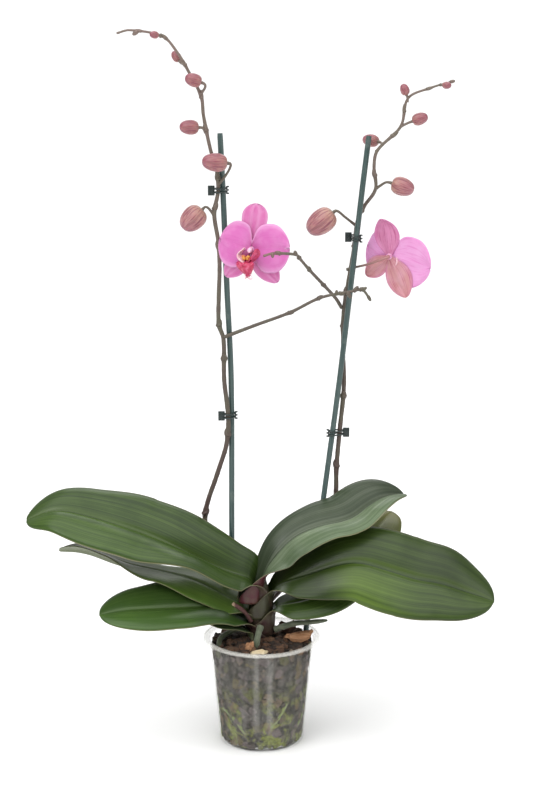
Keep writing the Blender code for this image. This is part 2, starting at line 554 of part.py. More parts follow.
def main():
    clear_scene()
    parts = collection("potted_orchid")
    cutters = collection("cutters", hidden=True)

    frosted = material("frosted_plastic", (0.74, 0.77, 0.74), 0.35)
    bark = material("bark_mix", (0.060, 0.040, 0.028), 0.9)
    chip_brown = material("bark_chip", (0.36, 0.19, 0.10), 0.85)
    chip_pale = material("pale_chip", (0.62, 0.50, 0.34), 0.85)
    stem_skin = material("stem_skin", (0.085, 0.045, 0.045), 0.6)
    leaf_skin = material("leaf_green", (0.045, 0.130, 0.030), 0.35)
    old_leaf_skin = material("old_leaf_green", (0.120, 0.150, 0.040), 0.5)
    spike_skin = material("spike_skin", (0.165, 0.130, 0.100), 0.55)
    stub_skin = material("dry_spike", (0.130, 0.055, 0.040), 0.8)
    root_skin = material("root_silver_green", (0.300, 0.330, 0.200), 0.7)
    pot_root_skin = material("root_green", (0.200, 0.270, 0.070), 0.6)
    bud_skin = material("bud_rose", (0.540, 0.260, 0.260), 0.5)
    petal_skin = material("petal_pink", (0.760, 0.250, 0.570), 0.5)
    sepal_skin = material("sepal_rose", (0.700, 0.270, 0.450), 0.5)
    lip_skin = material("lip_crimson", (0.580, 0.050, 0.140), 0.45)
    column_skin = material("column_pale_pink", (0.850, 0.480, 0.640), 0.4)
    stake_paint = material("stake_teal_green", (0.080, 0.120, 0.120), 0.45)
    clip_plastic = material("clip_dark_green", (0.020, 0.032, 0.030), 0.4)

    make_pot(frosted, parts, cutters)

    left_rod, right_rod = smooth(LEFT_STAKE, 16), smooth(RIGHT_STAKE, 16)
    buried = [("left_stake", left_rod[:5], STAKE_RADIUS, 8), ("right_stake", right_rod[:5], STAKE_RADIUS, 8),
              ("plant_stem", [(0, 0, STEM_FOOT), (0, 0, MIX_CROWN + 0.01)], 0.0127, 16)]
    for name, route, radius in AERIAL_ROOTS:
        points = smooth(route, 9)
        tube(name, points, (radius, radius * 0.8), root_skin, parts)
        if route[-1][2] < MIX_TOP:
            buried.append((name, points, radius + GAP, 6))
    for name, *shape in POT_ROOTS:
        points = pot_root_route(*shape)
        tube(name, points, (POT_ROOT_RADIUS, POT_ROOT_RADIUS), pot_root_skin, parts)
        outward = [Vector(point) * Vector((1.05, 1.05, 1.0)) for point in points]
        buried.append((name, points, POT_ROOT_RADIUS + GAP, 6))
        buried.append((f"{name}_open_side", outward, POT_ROOT_RADIUS + GAP, 6))
    make_mix(bark, parts, cutters, buried)

    chips = [("bark_chip_right", (0.024, 0.012, 0.006), (0.039, -0.006, 0.1125), (4, -1, 10), chip_brown),
             ("bark_chip_cream", (0.017, 0.007, 0.005), (-0.003, -0.0435, 0.1080), (8, -3, 4), chip_pale),
             ("bark_chip_orange", (0.009, 0.007, 0.006), (-0.012, -0.034, 0.1115), (8, 2, 30), chip_brown),
             ("bark_chip_back", (0.016, 0.014, 0.009), (0.027, 0.013, 0.1150), (-4, 6, 20), chip_brown)]
    for name, size, place, turn, finish in chips:
        block(name, size, place, turn, finish, parts, bevel=0.0012)
    tube("old_spike_stub", smooth([(-0.0107, -0.0107, 0.131), (-0.018, -0.016, 0.143), (-0.029, -0.021, 0.153)], 6),
         (0.0024, 0.0018), stub_skin, parts)

    make_stem(stem_skin, parts)
    for spec in LEAVES:
        old = spec["name"] in ("leaf_right_lower", "leaf_left_remnant")
        make_leaf(spec, old_leaf_skin if old else leaf_skin, parts)

    flowers = [("front_flower", FRONT_FLOWER), ("back_flower", BACK_FLOWER)]
    for prefix, flower in flowers:
        for part, *shape in flower["parts"]:
            finish = sepal_skin if part.endswith("sepal") else petal_skin
            make_petal(f"{prefix}_{part}", flower, *shape, finish, parts)
        make_lip(f"{prefix}_lip", flower, lip_skin, parts)
        make_column(f"{prefix}_column", flower, column_skin, parts, cutters)

    left_tips = [((-0.121, 0.030, 0.7215), (-0.7, 0.0, -0.5), 0.007, 0.005),
                 ((0.075, 0.025, 0.4635), (0.1, 0.0, 1.0), 0.006, 0.004),
                 ((0.107, 0.027, 0.461), (0.5, 0.0, -0.85), 0.007, 0.004)]
    right_tips = [((0.188, 0.056, 0.672), (1.0, 0.0, 0.2), 0.006, 0.004),
                  ((0.034, 0.002, 0.507), (-0.3, -0.2, 0.9), 0.006, 0.0045),
                  ((0.011, -0.004, 0.509), (0.0, -0.3, -1.0), 0.006, 0.004)]
    left_stalks = [bud_stalk(bud) for bud in LEFT_BUDS] + [flower_stalk(FRONT_FLOWER)]
    right_stalks = [bud_stalk(bud) for bud in RIGHT_BUDS] + [flower_stalk(BACK_FLOWER)]
    make_spike("left_spike", LEFT_SPIKE, LEFT_BRANCH, left_stalks, left_tips, spike_skin, parts, cutters)
    make_spike("right_spike", RIGHT_SPIKE, RIGHT_BRANCH, right_stalks, right_tips, spike_skin, parts, cutters)
    for name, stalk, direction, length, width in LEFT_BUDS + RIGHT_BUDS:
        make_bud(name, stalk[-1], direction, length, width, bud_skin, parts)

    tube("left_stake", left_rod, (STAKE_RADIUS, STAKE_RADIUS), stake_paint, parts, 8)
    tube("right_stake", right_rod, (STAKE_RADIUS, STAKE_RADIUS), stake_paint, parts, 8)
    for name, spike, stake, height, side in (("clip_left_upper", LEFT_SPIKE, LEFT_STAKE, 0.567, -1),
                                             ("clip_left_lower", LEFT_SPIKE, LEFT_STAKE, 0.337, -1),
                                             ("clip_right_upper", RIGHT_SPIKE, RIGHT_STAKE, 0.515, -1),
                                             ("clip_right_lower", RIGHT_SPIKE, RIGHT_STAKE, 0.313, 1)):
        make_clip(name, spike, stake, height, side, clip_plastic, parts, cutters)


main()
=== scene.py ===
"""Potted moth orchid: clear pot of bark, seven leaves, two flower spikes clipped to stakes, two open flowers.

Lengths are metres. +Z is up, and the front of the plant is towards -Y.
"""

import json
import math
import random

import bmesh
import bpy
from mathutils import Matrix, Vector, noise

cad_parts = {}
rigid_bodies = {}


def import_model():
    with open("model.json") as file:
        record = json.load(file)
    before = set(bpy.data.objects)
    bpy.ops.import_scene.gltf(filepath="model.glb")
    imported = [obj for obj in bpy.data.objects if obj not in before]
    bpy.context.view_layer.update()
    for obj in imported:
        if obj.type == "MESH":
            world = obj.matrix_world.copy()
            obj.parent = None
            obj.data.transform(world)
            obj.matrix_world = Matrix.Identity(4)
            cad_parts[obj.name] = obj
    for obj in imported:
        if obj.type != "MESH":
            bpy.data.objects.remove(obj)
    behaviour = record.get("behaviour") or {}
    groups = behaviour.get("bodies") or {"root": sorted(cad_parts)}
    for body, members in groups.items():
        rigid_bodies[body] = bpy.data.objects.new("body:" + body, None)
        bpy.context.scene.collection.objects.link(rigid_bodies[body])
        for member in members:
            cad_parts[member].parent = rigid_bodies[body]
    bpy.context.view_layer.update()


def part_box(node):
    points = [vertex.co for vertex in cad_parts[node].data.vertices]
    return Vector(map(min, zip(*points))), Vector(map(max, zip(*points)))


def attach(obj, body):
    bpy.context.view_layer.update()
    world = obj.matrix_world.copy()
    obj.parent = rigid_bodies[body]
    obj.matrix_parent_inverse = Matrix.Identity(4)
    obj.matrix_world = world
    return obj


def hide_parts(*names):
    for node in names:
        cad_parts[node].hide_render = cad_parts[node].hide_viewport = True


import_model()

# ---- The nursery pot ----
# One sheet of clear polypropylene drawn over a mould: a thin frosted wall with a shoulder ring, a rim rolled
# out and down, and a ring of drain holes in the base. The milky look is in the plastic, so bark shows through
# it; two narrow vertical bands of extra milkiness on the wall are painted reflections of tall lights.


def put(tree, kind, inputs=None, **settings):
    """A node of a kind with its settings, its inputs given as values or as the sockets that feed them."""
    node = tree.nodes.new(kind)
    for name, value in settings.items():
        setattr(node, name, value)
    for name, value in (inputs or {}).items():
        if isinstance(value, bpy.types.NodeSocket):
            tree.links.new(value, node.inputs[name])
        else:
            node.inputs[name].default_value = value
    return node


def finish_of(name, **sockets):
    """A new material: returns it, its node tree and its shader, with plain values on the sockets."""
    made = bpy.data.materials.new(name)
    made.use_nodes = True
    shader = made.node_tree.nodes["Principled BSDF"]
    for socket, value in sockets.items():
        shader.inputs[socket.replace("_", " ")].default_value = value
    return made, made.node_tree, shader


def ramp(tree, share, stops):
    """A colour read from a share between 0 and 1."""
    node = put(tree, "ShaderNodeValToRGB", {"Fac": share})
    while len(node.color_ramp.elements) < len(stops):
        node.color_ramp.elements.new(0.5)
    for element, (place, colour) in zip(node.color_ramp.elements, stops):
        element.position = place
        element.color = (*colour, 1.0)
    return node.outputs["Color"]


def blend(tree, share, first, second, how="MIX"):
    """Two colours mixed by a share."""
    node = tree.nodes.new("ShaderNodeMix")
    node.data_type = "RGBA"
    node.blend_type = how
    for socket, value in ((node.inputs[0], share), (node.inputs[6], first), (node.inputs[7], second)):
        if isinstance(value, bpy.types.NodeSocket):
            tree.links.new(value, socket)
        else:
            socket.default_value = (*value, 1.0) if isinstance(value, tuple) else value
    return node.outputs[2]


def grain(tree, vector, scale, detail=3.0, roughness=0.55, distortion=0.0):
    """A noise share over a vector."""
    node = put(tree, "ShaderNodeTexNoise", {"Vector": vector, "Scale": scale, "Detail": detail,
                                            "Roughness": roughness, "Distortion": distortion})
    return node.outputs["Fac"]


def within(tree, value, low, high, bottom=0.0, top=1.0):
    """A value taken from one range to another, clamped."""
    node = put(tree, "ShaderNodeMapRange", {"Value": value, "From Min": low, "From Max": high,
                                            "To Min": bottom, "To Max": top})
    return node.outputs["Result"]


def raise_grain(tree, shader, height, strength, distance):
    """A bump from a height share."""
    bump = put(tree, "ShaderNodeBump", {"Height": height, "Strength": strength, "Distance": distance})
    tree.links.new(bump.outputs["Normal"], shader.inputs["Normal"])


def object_place(tree):
    return tree.nodes.new("ShaderNodeTexCoord").outputs["Object"]


def figure(tree, how, *values):
    """The result of a sum on numbers or sockets."""
    return put(tree, "ShaderNodeMath", dict(enumerate(values)), operation=how).outputs[0]


def axis(tree, vector, letter):
    return put(tree, "ShaderNodeSeparateXYZ", {"Vector": vector}).outputs[letter]


def stretched(tree, vector, scale, shift=0.0):
    """A vector scaled along each axis, and shifted so that no two pieces share a pattern."""
    return put(tree, "ShaderNodeMapping",
               {"Vector": vector, "Location": (shift, shift, 0), "Scale": scale}).outputs[0]


def feed(tree, shader, colour, roughness=None):
    """Links a colour, and a roughness where it varies, to a shader."""
    tree.links.new(colour, shader.inputs["Base Color"])
    if roughness is not None:
        tree.links.new(roughness, shader.inputs["Roughness"])


def mesh_of(name, shape, sharp=None):
    """A smooth mesh from an edited shape, with the edges past an angle in degrees kept crisp."""
    mesh = bpy.data.meshes.new(name)
    shape.to_mesh(mesh)
    shape.free()
    mesh.shade_smooth()
    if sharp is not None:
        mesh.set_sharp_from_angle(angle=math.radians(sharp))
    return mesh


def add_piece(name, mesh, finish, replaced, slot):
    """The finished object, riding on the plant's one body in place of its CAD nodes."""
    made = bpy.data.objects.new(name, mesh)
    mesh.materials.clear()
    mesh.materials.append(finish)
    bpy.context.scene.collection.objects.link(made)
    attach(made, "root")
    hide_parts(*replaced)
    return made


def lathe(name, profile, steps):
    """A closed skin turned about Z from a profile of (radius, height) that starts and ends on the axis."""
    shape = bmesh.new()
    rings = []
    for radius, height in profile:
        if radius == 0:
            rings.append([shape.verts.new((0, 0, height))])
            continue
        turns = [math.tau * i / steps for i in range(steps)]
        rings.append([shape.verts.new((radius * math.sin(t), -radius * math.cos(t), height)) for t in turns])
    for lower, upper in zip(rings, rings[1:]):
        for i in range(steps):
            j = (i + 1) % steps
            corners = [lower[i % len(lower)], lower[j % len(lower)], upper[j % len(upper)],
                       upper[i % len(upper)]]
            shape.faces.new(list(dict.fromkeys(corners)))
    bmesh.ops.recalc_face_normals(shape, faces=shape.faces)
    return mesh_of(name, shape)


def arc(centre, radius, start, end, steps=5):
    """Points of (radius, height) round a centre, between two angles in degrees."""
    angles = [math.radians(start + (end - start) * i / steps) for i in range(steps + 1)]
    return [(centre[0] + radius * math.cos(angle), centre[1] + radius * math.sin(angle)) for angle in angles]


POT_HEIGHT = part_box("nursery_pot")[1][2]
RIM_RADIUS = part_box("nursery_pot")[1][0]
POT_WALL = 0.0009
BASE_RADIUS = 0.0435
SHOULDER = POT_HEIGHT - 0.026
SHOULDER_STEP = 0.0006


def outer_radius(height):
    """The pot wall's outer radius at a height."""
    return BASE_RADIUS + 0.010 * height / POT_HEIGHT + (SHOULDER_STEP if height > SHOULDER else 0.0)


pot_outside = [(0.0, 0.0009), (0.024, 0.0009), (0.0255, 0.0), (0.0345, 0.0), (0.0355, 0.0007),
               (0.0385, 0.0007),
               (0.0395, 0.0)]
pot_outside += arc((BASE_RADIUS - 0.0026, 0.0028), 0.0028, -90, 0)
pot_outside += [(outer_radius(h), h) for h in (0.010, 0.040, 0.070, SHOULDER - 0.0012)]
pot_outside += [(outer_radius(SHOULDER) + 0.0008, SHOULDER - 0.0002),
                (outer_radius(SHOULDER) + 0.0009, SHOULDER + 0.0008)]
pot_outside += [(outer_radius(h), h) for h in (SHOULDER + 0.0022, 0.098, POT_HEIGHT - 0.0052)]
pot_outside += arc((outer_radius(POT_HEIGHT) + 0.0031, POT_HEIGHT - 0.0042), 0.0030, 180, 95)
pot_outside += [(RIM_RADIUS - 0.0012, POT_HEIGHT - 0.0011), (RIM_RADIUS - 0.0009, POT_HEIGHT - 0.0026)]
pot_outside += arc((RIM_RADIUS - 0.00045, POT_HEIGHT - 0.0027), 0.00045, 180, 360, 4)
pot_outside += arc((RIM_RADIUS - 0.0009, POT_HEIGHT - 0.0009), 0.0009, 0, 90)
pot_inside = arc((outer_radius(POT_HEIGHT) + 0.0026, POT_HEIGHT - 0.0034), 0.0034, 95, 180)
pot_inside += [(outer_radius(h) - POT_WALL, h) for h in (0.098, SHOULDER + 0.0030)]
pot_inside += [(outer_radius(SHOULDER), SHOULDER + 0.0008),
               (outer_radius(SHOULDER) - POT_WALL, SHOULDER - 0.0014)]
pot_inside += [(outer_radius(h) - POT_WALL, h) for h in (0.070, 0.040, 0.010)]
pot_inside += arc((BASE_RADIUS - 0.0030, 0.0034), 0.0022, 0, -90)
pot_inside += [(0.0395, 0.0010), (0.0385, 0.0016), (0.0355, 0.0016), (0.0345, 0.0009), (0.0255, 0.0010),
               (0.0240, 0.0018), (0.0, 0.0018)]
pot_mesh = lathe("clear_pot", pot_outside + pot_inside, 96)

DRAIN_HOLES = 6
DRAIN_RING = 0.030
DRAIN_RADIUS = 0.004
drain = bmesh.new()
for i in range(DRAIN_HOLES):
    turn = math.tau * (i + 0.5) / DRAIN_HOLES
    place = Matrix.Translation((DRAIN_RING * math.cos(turn), DRAIN_RING * math.sin(turn), 0.0))
    bmesh.ops.create_cone(drain, cap_ends=True, segments=20, radius1=DRAIN_RADIUS, radius2=DRAIN_RADIUS,
                          depth=0.008, matrix=place @ Matrix.Rotation(turn, 4, "Z"))
drain_cutter = bpy.data.objects.new("drain holes", mesh_of("drain holes", drain))
uncut_pot = bpy.data.objects.new("uncut pot", pot_mesh)
for helper in (drain_cutter, uncut_pot):
    bpy.context.scene.collection.objects.link(helper)
drilled = uncut_pot.modifiers.new("drain holes", "BOOLEAN")
drilled.object = drain_cutter
drilled.operation = "DIFFERENCE"
bpy.context.view_layer.update()
pot_mesh = bpy.data.meshes.new_from_object(uncut_pot.evaluated_get(bpy.context.evaluated_depsgraph_get()))
for helper in (drain_cutter, uncut_pot):
    bpy.data.objects.remove(helper, do_unlink=True)
pot_mesh.shade_smooth()
pot_mesh.set_sharp_from_angle(angle=math.radians(50))

frosted, tree, shader = finish_of("frosted plastic", Roughness=0.27, IOR=1.49, Coat_Weight=0.25,
                                  Coat_Roughness=0.12)
place = object_place(tree)
height = axis(tree, place, "Z")
sideways = axis(tree, place, "X")
cloud = grain(tree, place, 38, 4)
streaks = grain(tree, stretched(tree, place, (190, 190, 9)), 1.0, 2)
feed(tree, shader, ramp(tree, cloud, [(0.3, (0.66, 0.64, 0.59)), (0.7, (0.78, 0.77, 0.72))]))
haze_and_painted_reflection = figure(tree, "ADD", within(tree, cloud, 0.35, 0.70, 0.018, 0.050),
              within(tree, streaks, 0.50, 0.75, 0.0, 0.04))
# Two narrow vertical bands of extra milkiness: painted reflections of tall lights on the wall.
PAINTED_REFLECTION_BANDS = (-0.0055, 0.0083)
for middle in PAINTED_REFLECTION_BANDS:
    from_painted_reflection = figure(tree, "ABSOLUTE", figure(tree, "SUBTRACT", sideways, middle))
    band = figure(tree, "MULTIPLY", within(tree, from_painted_reflection, 0.0044, 0.0010, 0.0, 0.075),
                  within(tree, height, 0.016, 0.034))
    haze_and_painted_reflection = figure(tree, "ADD", haze_and_painted_reflection, band)
grazing = put(tree, "ShaderNodeLayerWeight", {"Blend": 0.5}).outputs["Facing"]
haze_and_painted_reflection = figure(tree, "ADD", haze_and_painted_reflection, within(tree, grazing, 0.72, 1.0, 0.0, 0.30))
haze_and_painted_reflection = figure(tree, "ADD", haze_and_painted_reflection, within(tree, height, POT_HEIGHT - 0.006, POT_HEIGHT - 0.002, 0.0, 0.24))
tree.links.new(haze_and_painted_reflection, shader.inputs["Alpha"])
raise_grain(tree, shader, grain(tree, place, 260, 2), 0.10, 0.0004)
add_piece("clear_pot", pot_mesh, frosted, ["nursery_pot"], "frosted_plastic")

# ---- The potting mix ----
# Chunks of conifer bark, packed flat against the wall and tumbled on top, dark with water and green with
# algae lower down. A dark core stands behind two layers of loose chunks, so that gaps between them stay dark:
# it is bark that takes the darkest bark colour as a painted shade.


SPLIT_EDGE = 32


def rough_chunk(name, size, seed):
    """An angular chunk: a box with its corners pushed in by chance, thin edges and split faces."""
    dice = random.Random(seed)
    shape = bmesh.new()
    bmesh.ops.create_cube(shape, size=1.0)
    bmesh.ops.subdivide_edges(shape, edges=shape.edges, cuts=1, use_grid_fill=True)
    for vertex in shape.verts:
        corner = sum(abs(value) > 0.49 for value in vertex.co)
        vertex.co *= {3: 0.74, 2: 0.92, 1: 1.04, 0: 1.0}[corner]
        vertex.co += Vector(dice.uniform(-0.10, 0.10) for _ in range(3))
        vertex.co = Vector(value * side for value, side in zip(vertex.co, size))
    bmesh.ops.recalc_face_normals(shape, faces=shape.faces)
    return mesh_of(name, shape, SPLIT_EDGE)


chunk_kinds = bpy.data.collections.new("bark chunk kinds")
bpy.context.scene.collection.children.link(chunk_kinds)
for i, size in enumerate([(0.0090, 0.0056, 0.0026), (0.0068, 0.0052, 0.0028), (0.0115, 0.0045, 0.0024),
                          (0.0056, 0.0050, 0.0030), (0.0082, 0.0068, 0.0022)]):
    kind = bpy.data.objects.new(f"chunk kind {i + 1}", rough_chunk(f"chunk kind {i + 1}", size, 40 + i))
    chunk_kinds.objects.link(kind)

scatter = bpy.data.node_groups.new("bark chunks over a surface", "GeometryNodeTree")
for label, socket_type, default in (("Bed", "NodeSocketGeometry", None),
                                    ("Spacing", "NodeSocketFloat", 0.007),
                                    ("Tilt", "NodeSocketFloat", 0.15), ("Smallest", "NodeSocketFloat", 0.6),
                                    ("Largest", "NodeSocketFloat", 1.1), ("Seed", "NodeSocketInt", 1),
                                    ("Kinds", "NodeSocketCollection", None),
                                    ("Finish", "NodeSocketMaterial", None)):
    entry = scatter.interface.new_socket(label, in_out="INPUT", socket_type=socket_type)
    if default is not None:
        entry.default_value = default
scatter.interface.new_socket("Chunks", in_out="OUTPUT", socket_type="NodeSocketGeometry")
given = scatter.nodes.new("NodeGroupInput").outputs
spots = put(scatter, "GeometryNodeDistributePointsOnFaces",
            {"Mesh": given["Bed"], "Distance Min": given["Spacing"], "Density Max": 60000.0,
             "Seed": given["Seed"]},
            distribute_method="POISSON")
most_tilt = put(scatter, "ShaderNodeCombineXYZ", {"X": given["Tilt"], "Y": given["Tilt"], "Z": math.pi})
least_tilt = put(scatter, "ShaderNodeVectorMath", {0: most_tilt.outputs[0], "Scale": -1.0}, operation="SCALE")
tumble = put(scatter, "FunctionNodeRandomValue",
             {"Min": least_tilt.outputs[0], "Max": most_tilt.outputs[0], "Seed": given["Seed"]},
             data_type="FLOAT_VECTOR")
tumble_turn = put(scatter, "FunctionNodeEulerToRotation", {"Euler": tumble.outputs[0]})
laid = put(scatter, "FunctionNodeRotateRotation",
           {"Rotation": spots.outputs["Rotation"], "Rotate By": tumble_turn.outputs[0]},
           rotation_space="LOCAL")
sizes = put(scatter, "FunctionNodeRandomValue", data_type="FLOAT")
floats = [socket for socket in sizes.inputs if socket.type == "VALUE"]
scatter.links.new(given["Smallest"], floats[0])
scatter.links.new(given["Largest"], floats[1])
kinds = put(scatter, "GeometryNodeCollectionInfo",
            {"Collection": given["Kinds"], "Separate Children": True, "Reset Children": True})
strewn = put(scatter, "GeometryNodeInstanceOnPoints",
             {"Points": spots.outputs["Points"], "Instance": kinds.outputs[0], "Pick Instance": True,
              "Rotation": laid.outputs[0], "Scale": sizes.outputs[1]})
own_tint = put(scatter, "FunctionNodeRandomValue", data_type="FLOAT")
tinted = put(scatter, "GeometryNodeStoreNamedAttribute",
             {"Geometry": strewn.outputs[0], "Name": "tint", "Value": own_tint.outputs[1]},
             data_type="FLOAT", domain="INSTANCE")
solid_chunks = put(scatter, "GeometryNodeRealizeInstances", {"Geometry": tinted.outputs[0]})
coated = put(scatter, "GeometryNodeSetMaterial", {"Geometry": solid_chunks.outputs[0],
                                                  "Material": given["Finish"]})
put(scatter, "NodeGroupOutput", {"Chunks": coated.outputs[0]})


def strew(name, bed_mesh, finish, **values):
    """Bakes the chunks that the node tree lays over a bed into one plain mesh."""
    bed = bpy.data.objects.new(name, bed_mesh)
    bpy.context.scene.collection.objects.link(bed)
    layer = bed.modifiers.new("chunks", "NODES")
    layer.node_group = scatter
    wanted = dict(values, Kinds=chunk_kinds, Finish=finish)
    for entry in scatter.interface.items_tree:
        if entry.in_out == "INPUT" and entry.name in wanted:
            layer[entry.identifier] = wanted[entry.name]
    bpy.context.view_layer.update()
    mesh = bpy.data.meshes.new_from_object(bed.evaluated_get(bpy.context.evaluated_depsgraph_get()))
    bed.modifiers.remove(layer)
    bpy.data.objects.remove(bed, do_unlink=True)
    mesh.name = name
    return mesh


def band_of(name, profile, steps):
    """An open skin turned about Z, for chunks to lie on."""
    shape = bmesh.new()
    shape.from_mesh(lathe(name, [(0.0, profile[0][1]), *profile, (0.0, profile[-1][1])], steps))
    centres = [v for v in shape.verts if v.co.xy.length < 1e-6]
    bmesh.ops.delete(shape, geom=centres, context="VERTS")
    return mesh_of(name, shape)


def joined(name, meshes, keep_in=None, sharp=None):
    """Several meshes as one, each point first put back to where keep_in allows."""
    shape = bmesh.new()
    for mesh in meshes:
        shape.from_mesh(mesh)
    if keep_in is not None:
        for vertex in shape.verts:
            vertex.co = keep_in(vertex.co.copy())
    return mesh_of(name, shape, sharp)


def bark_finish(name, stops, worn_colour, moss_top):
    """Bark: each chunk its own brown, split grain with painted shade in its cracks, dark damp patches, and
    moss that thins out upwards.
    """
    made, tree, shader = finish_of(name, Roughness=0.82, Specular_IOR_Level=0.35)
    place = object_place(tree)
    tint = put(tree, "ShaderNodeAttribute", attribute_name="tint").outputs["Fac"]
    splits = grain(tree, stretched(tree, place, (1.0, 1.0, 3.2)), 420, 5, 0.7, 0.6)
    ground = ramp(tree, tint, stops)
    damp = grain(tree, place, 75, 5, 0.65, 0.4)
    worn = blend(tree, within(tree, splits, 0.48, 0.80, 0.0, 0.8), ground, worn_colour)
    # The cracks of the split grain, where the bump sinks, are darkened near to black: painted shade.
    dark = blend(tree, within(tree, splits, 0.52, 0.30), worn, (0.010, 0.008, 0.006))
    dark = blend(tree, within(tree, damp, 0.52, 0.64, 0.0, 0.80), dark, (0.014, 0.014, 0.011))
    patch = figure(tree, "MULTIPLY", within(tree, grain(tree, place, 62, 5, 0.6, 0.5), 0.51, 0.60),
                   within(tree, axis(tree, place, "Z"), moss_top, moss_top * 0.3, 0.0, 0.9))
    moss = ramp(tree, grain(tree, place, 700, 3), [(0.30, (0.060, 0.080, 0.012)),
                                                   (0.70, (0.330, 0.370, 0.075))])
    feed(tree, shader, blend(tree, patch, dark, moss), within(tree, splits, 0.3, 0.7, 0.62, 0.92))
    raise_grain(tree, shader, splits, 0.8, 0.0012)
    return made


packed_bark = bark_finish("packed bark", [(0.0, (0.020, 0.019, 0.014)), (0.28, (0.062, 0.057, 0.041)),
                                          (0.48, (0.105, 0.092, 0.082)), (0.62, (0.032, 0.026, 0.022)),
                                          (0.80, (0.160, 0.128, 0.130)), (0.92, (0.150, 0.105, 0.055)),
                                          (1.0, (0.080, 0.090, 0.030))], (0.185, 0.168, 0.135), 0.080)
top_bark = bark_finish("top bark", [(0.0, (0.009, 0.006, 0.005)), (0.40, (0.024, 0.013, 0.009)),
                                    (0.70, (0.045, 0.024, 0.015)), (0.90, (0.110, 0.052, 0.027)),
                                    (1.0, (0.190, 0.110, 0.058))], (0.120, 0.075, 0.048), 0.030)

core_profile = [(0.0, 0.108), (0.030, 0.106), (0.0450, 0.104), (0.0495, 0.101)]
core_profile += [(outer_radius(h) - 0.0026, h) for h in (0.094, 0.060, 0.030, 0.010)] + [(0.0385, 0.0035),
                                                                                         (0.0, 0.0035)]
# The core has no tint of its own, so it takes the darkest bark colour: painted shade for the depths between
# chunks.
core_mesh = lathe("bark_core", core_profile, 96)
add_piece("bark_core", core_mesh, packed_bark, ["potting_mix"], "bark_mix")

WALL_CLEARANCE = 0.0004
FLOOR_CLEARANCE = 0.0032
TOP_BARK_REACH = 0.0518


def inside_wall(point):
    limit = min(outer_radius(max(point.z, 0.004)), outer_radius(point.z - 0.001)) - POT_WALL - WALL_CLEARANCE
    point.xy *= min(limit / point.xy.length, 1.0)
    point.z = max(point.z, FLOOR_CLEARANCE)
    return point


def inside_rim(point):
    if point.xy.length > TOP_BARK_REACH:
        point.xy *= TOP_BARK_REACH / point.xy.length
    return point


wall_layers = []
for depth, spacing, seed in ((0.0024, 0.0052, 3), (0.0016, 0.0062, 11)):
    route = [(outer_radius(h) - POT_WALL - depth, h) for h in (0.004, 0.030, 0.060, 0.084, 0.105)]
    wall_layers.append(strew("bark against the wall", band_of("wall bed", route, 48), packed_bark,
                             Spacing=spacing, Tilt=0.10, Smallest=0.60, Largest=1.30, Seed=seed))
wall_mesh = joined("wall_bark", wall_layers, inside_wall, SPLIT_EDGE)
add_piece("wall_bark", wall_mesh, packed_bark, ["potting_mix"], "bark_mix")

top_profile = [(0.008, 0.1105), (0.022, 0.1095), (0.036, 0.1075), (0.0440, 0.1060), (0.0495, 0.1045)]
top_layers = [strew("bark on top", band_of("top bed", top_profile, 40), top_bark, Spacing=spacing, Tilt=tilt,
                    Smallest=0.70, Largest=1.55, Seed=seed)
              for spacing, tilt, seed in ((0.0052, 0.35, 5), (0.0068, 0.85, 17))]
top_mesh = joined("top_bark", top_layers, inside_rim, SPLIT_EDGE)
add_piece("top_bark", top_mesh, top_bark, ["potting_mix"], "bark_mix")
for kind in list(chunk_kinds.objects):
    bpy.data.objects.remove(kind, do_unlink=True)
bpy.data.collections.remove(chunk_kinds)

# ---- Loose chips on the mix ----
# Four bigger pieces that lie on top of the mix: one long orange-brown flake, one cream splinter of bare wood,
# one small orange chip and one brown lump. Each is split along its grain and has worn, broken ends.


def split_chip(name, size, seed, curl):
    """A flake with layered faces, wavy sides and ragged tapered ends, curled along its length."""
    dice = random.Random(seed)
    offset = Vector(dice.uniform(-50, 50) for _ in range(3))
    shape = bmesh.new()
    bmesh.ops.create_cube(shape, size=1.0)
    bmesh.ops.subdivide_edges(shape, edges=shape.edges, cuts=7, use_grid_fill=True)
    for vertex in shape.verts:
        x, y, z = vertex.co * 2
        round_off = 1 - 0.16 * (x * x * y * y) - 0.08 * (z * z)
        x, y = x * round_off, y * round_off * (1 - 0.50 * x**4 - 0.14 * x * x)
        co = Vector((x * size[0], y * size[1], z * size[2])) / 2
        wave = noise.noise_vector(Vector((x * 1.4, y * 2.2, z * 1.2)) + offset)
        layers = math.floor(noise.noise(Vector((x * 0.9, y * 3.0, z * 0.4)) + offset) * 4) / 4
        co.z += size[2] * (0.26 * wave.z + 0.26 * layers * (1 if z > 0 else 0.3) + curl
                           * (x * x - 0.4 * y * y))
        co.x += size[0] * 0.06 * wave.x * (1 + abs(x))
        co.y += size[1] * 0.15 * wave.y
        vertex.co = co
    bmesh.ops.recalc_face_normals(shape, faces=shape.faces)
    return mesh_of(name, shape, 40)


def chip_finish(name, ground, grain_colour, dirt):
    """Bare or barky wood: grain lines along the flake, and dirt in patches."""
    made, tree, shader = finish_of(name, Roughness=0.78, Specular_IOR_Level=0.3)
    place = object_place(tree)
    along = put(tree, "ShaderNodeMapping", {"Vector": place, "Rotation": (0.1, 0.1, 0.25),
                                            "Scale": (90, 620, 520)})
    lines = grain(tree, along.outputs[0], 1.0, 5, 0.65, 0.4)
    patches = grain(tree, place, 190, 4)
    colour = blend(tree, within(tree, lines, 0.35, 0.70), ground, grain_colour)
    feed(tree, shader, blend(tree, within(tree, patches, 0.54, 0.74, 0.0, 0.85), colour, dirt))
    raise_grain(tree, shader, lines, 0.6, 0.0008)
    return made


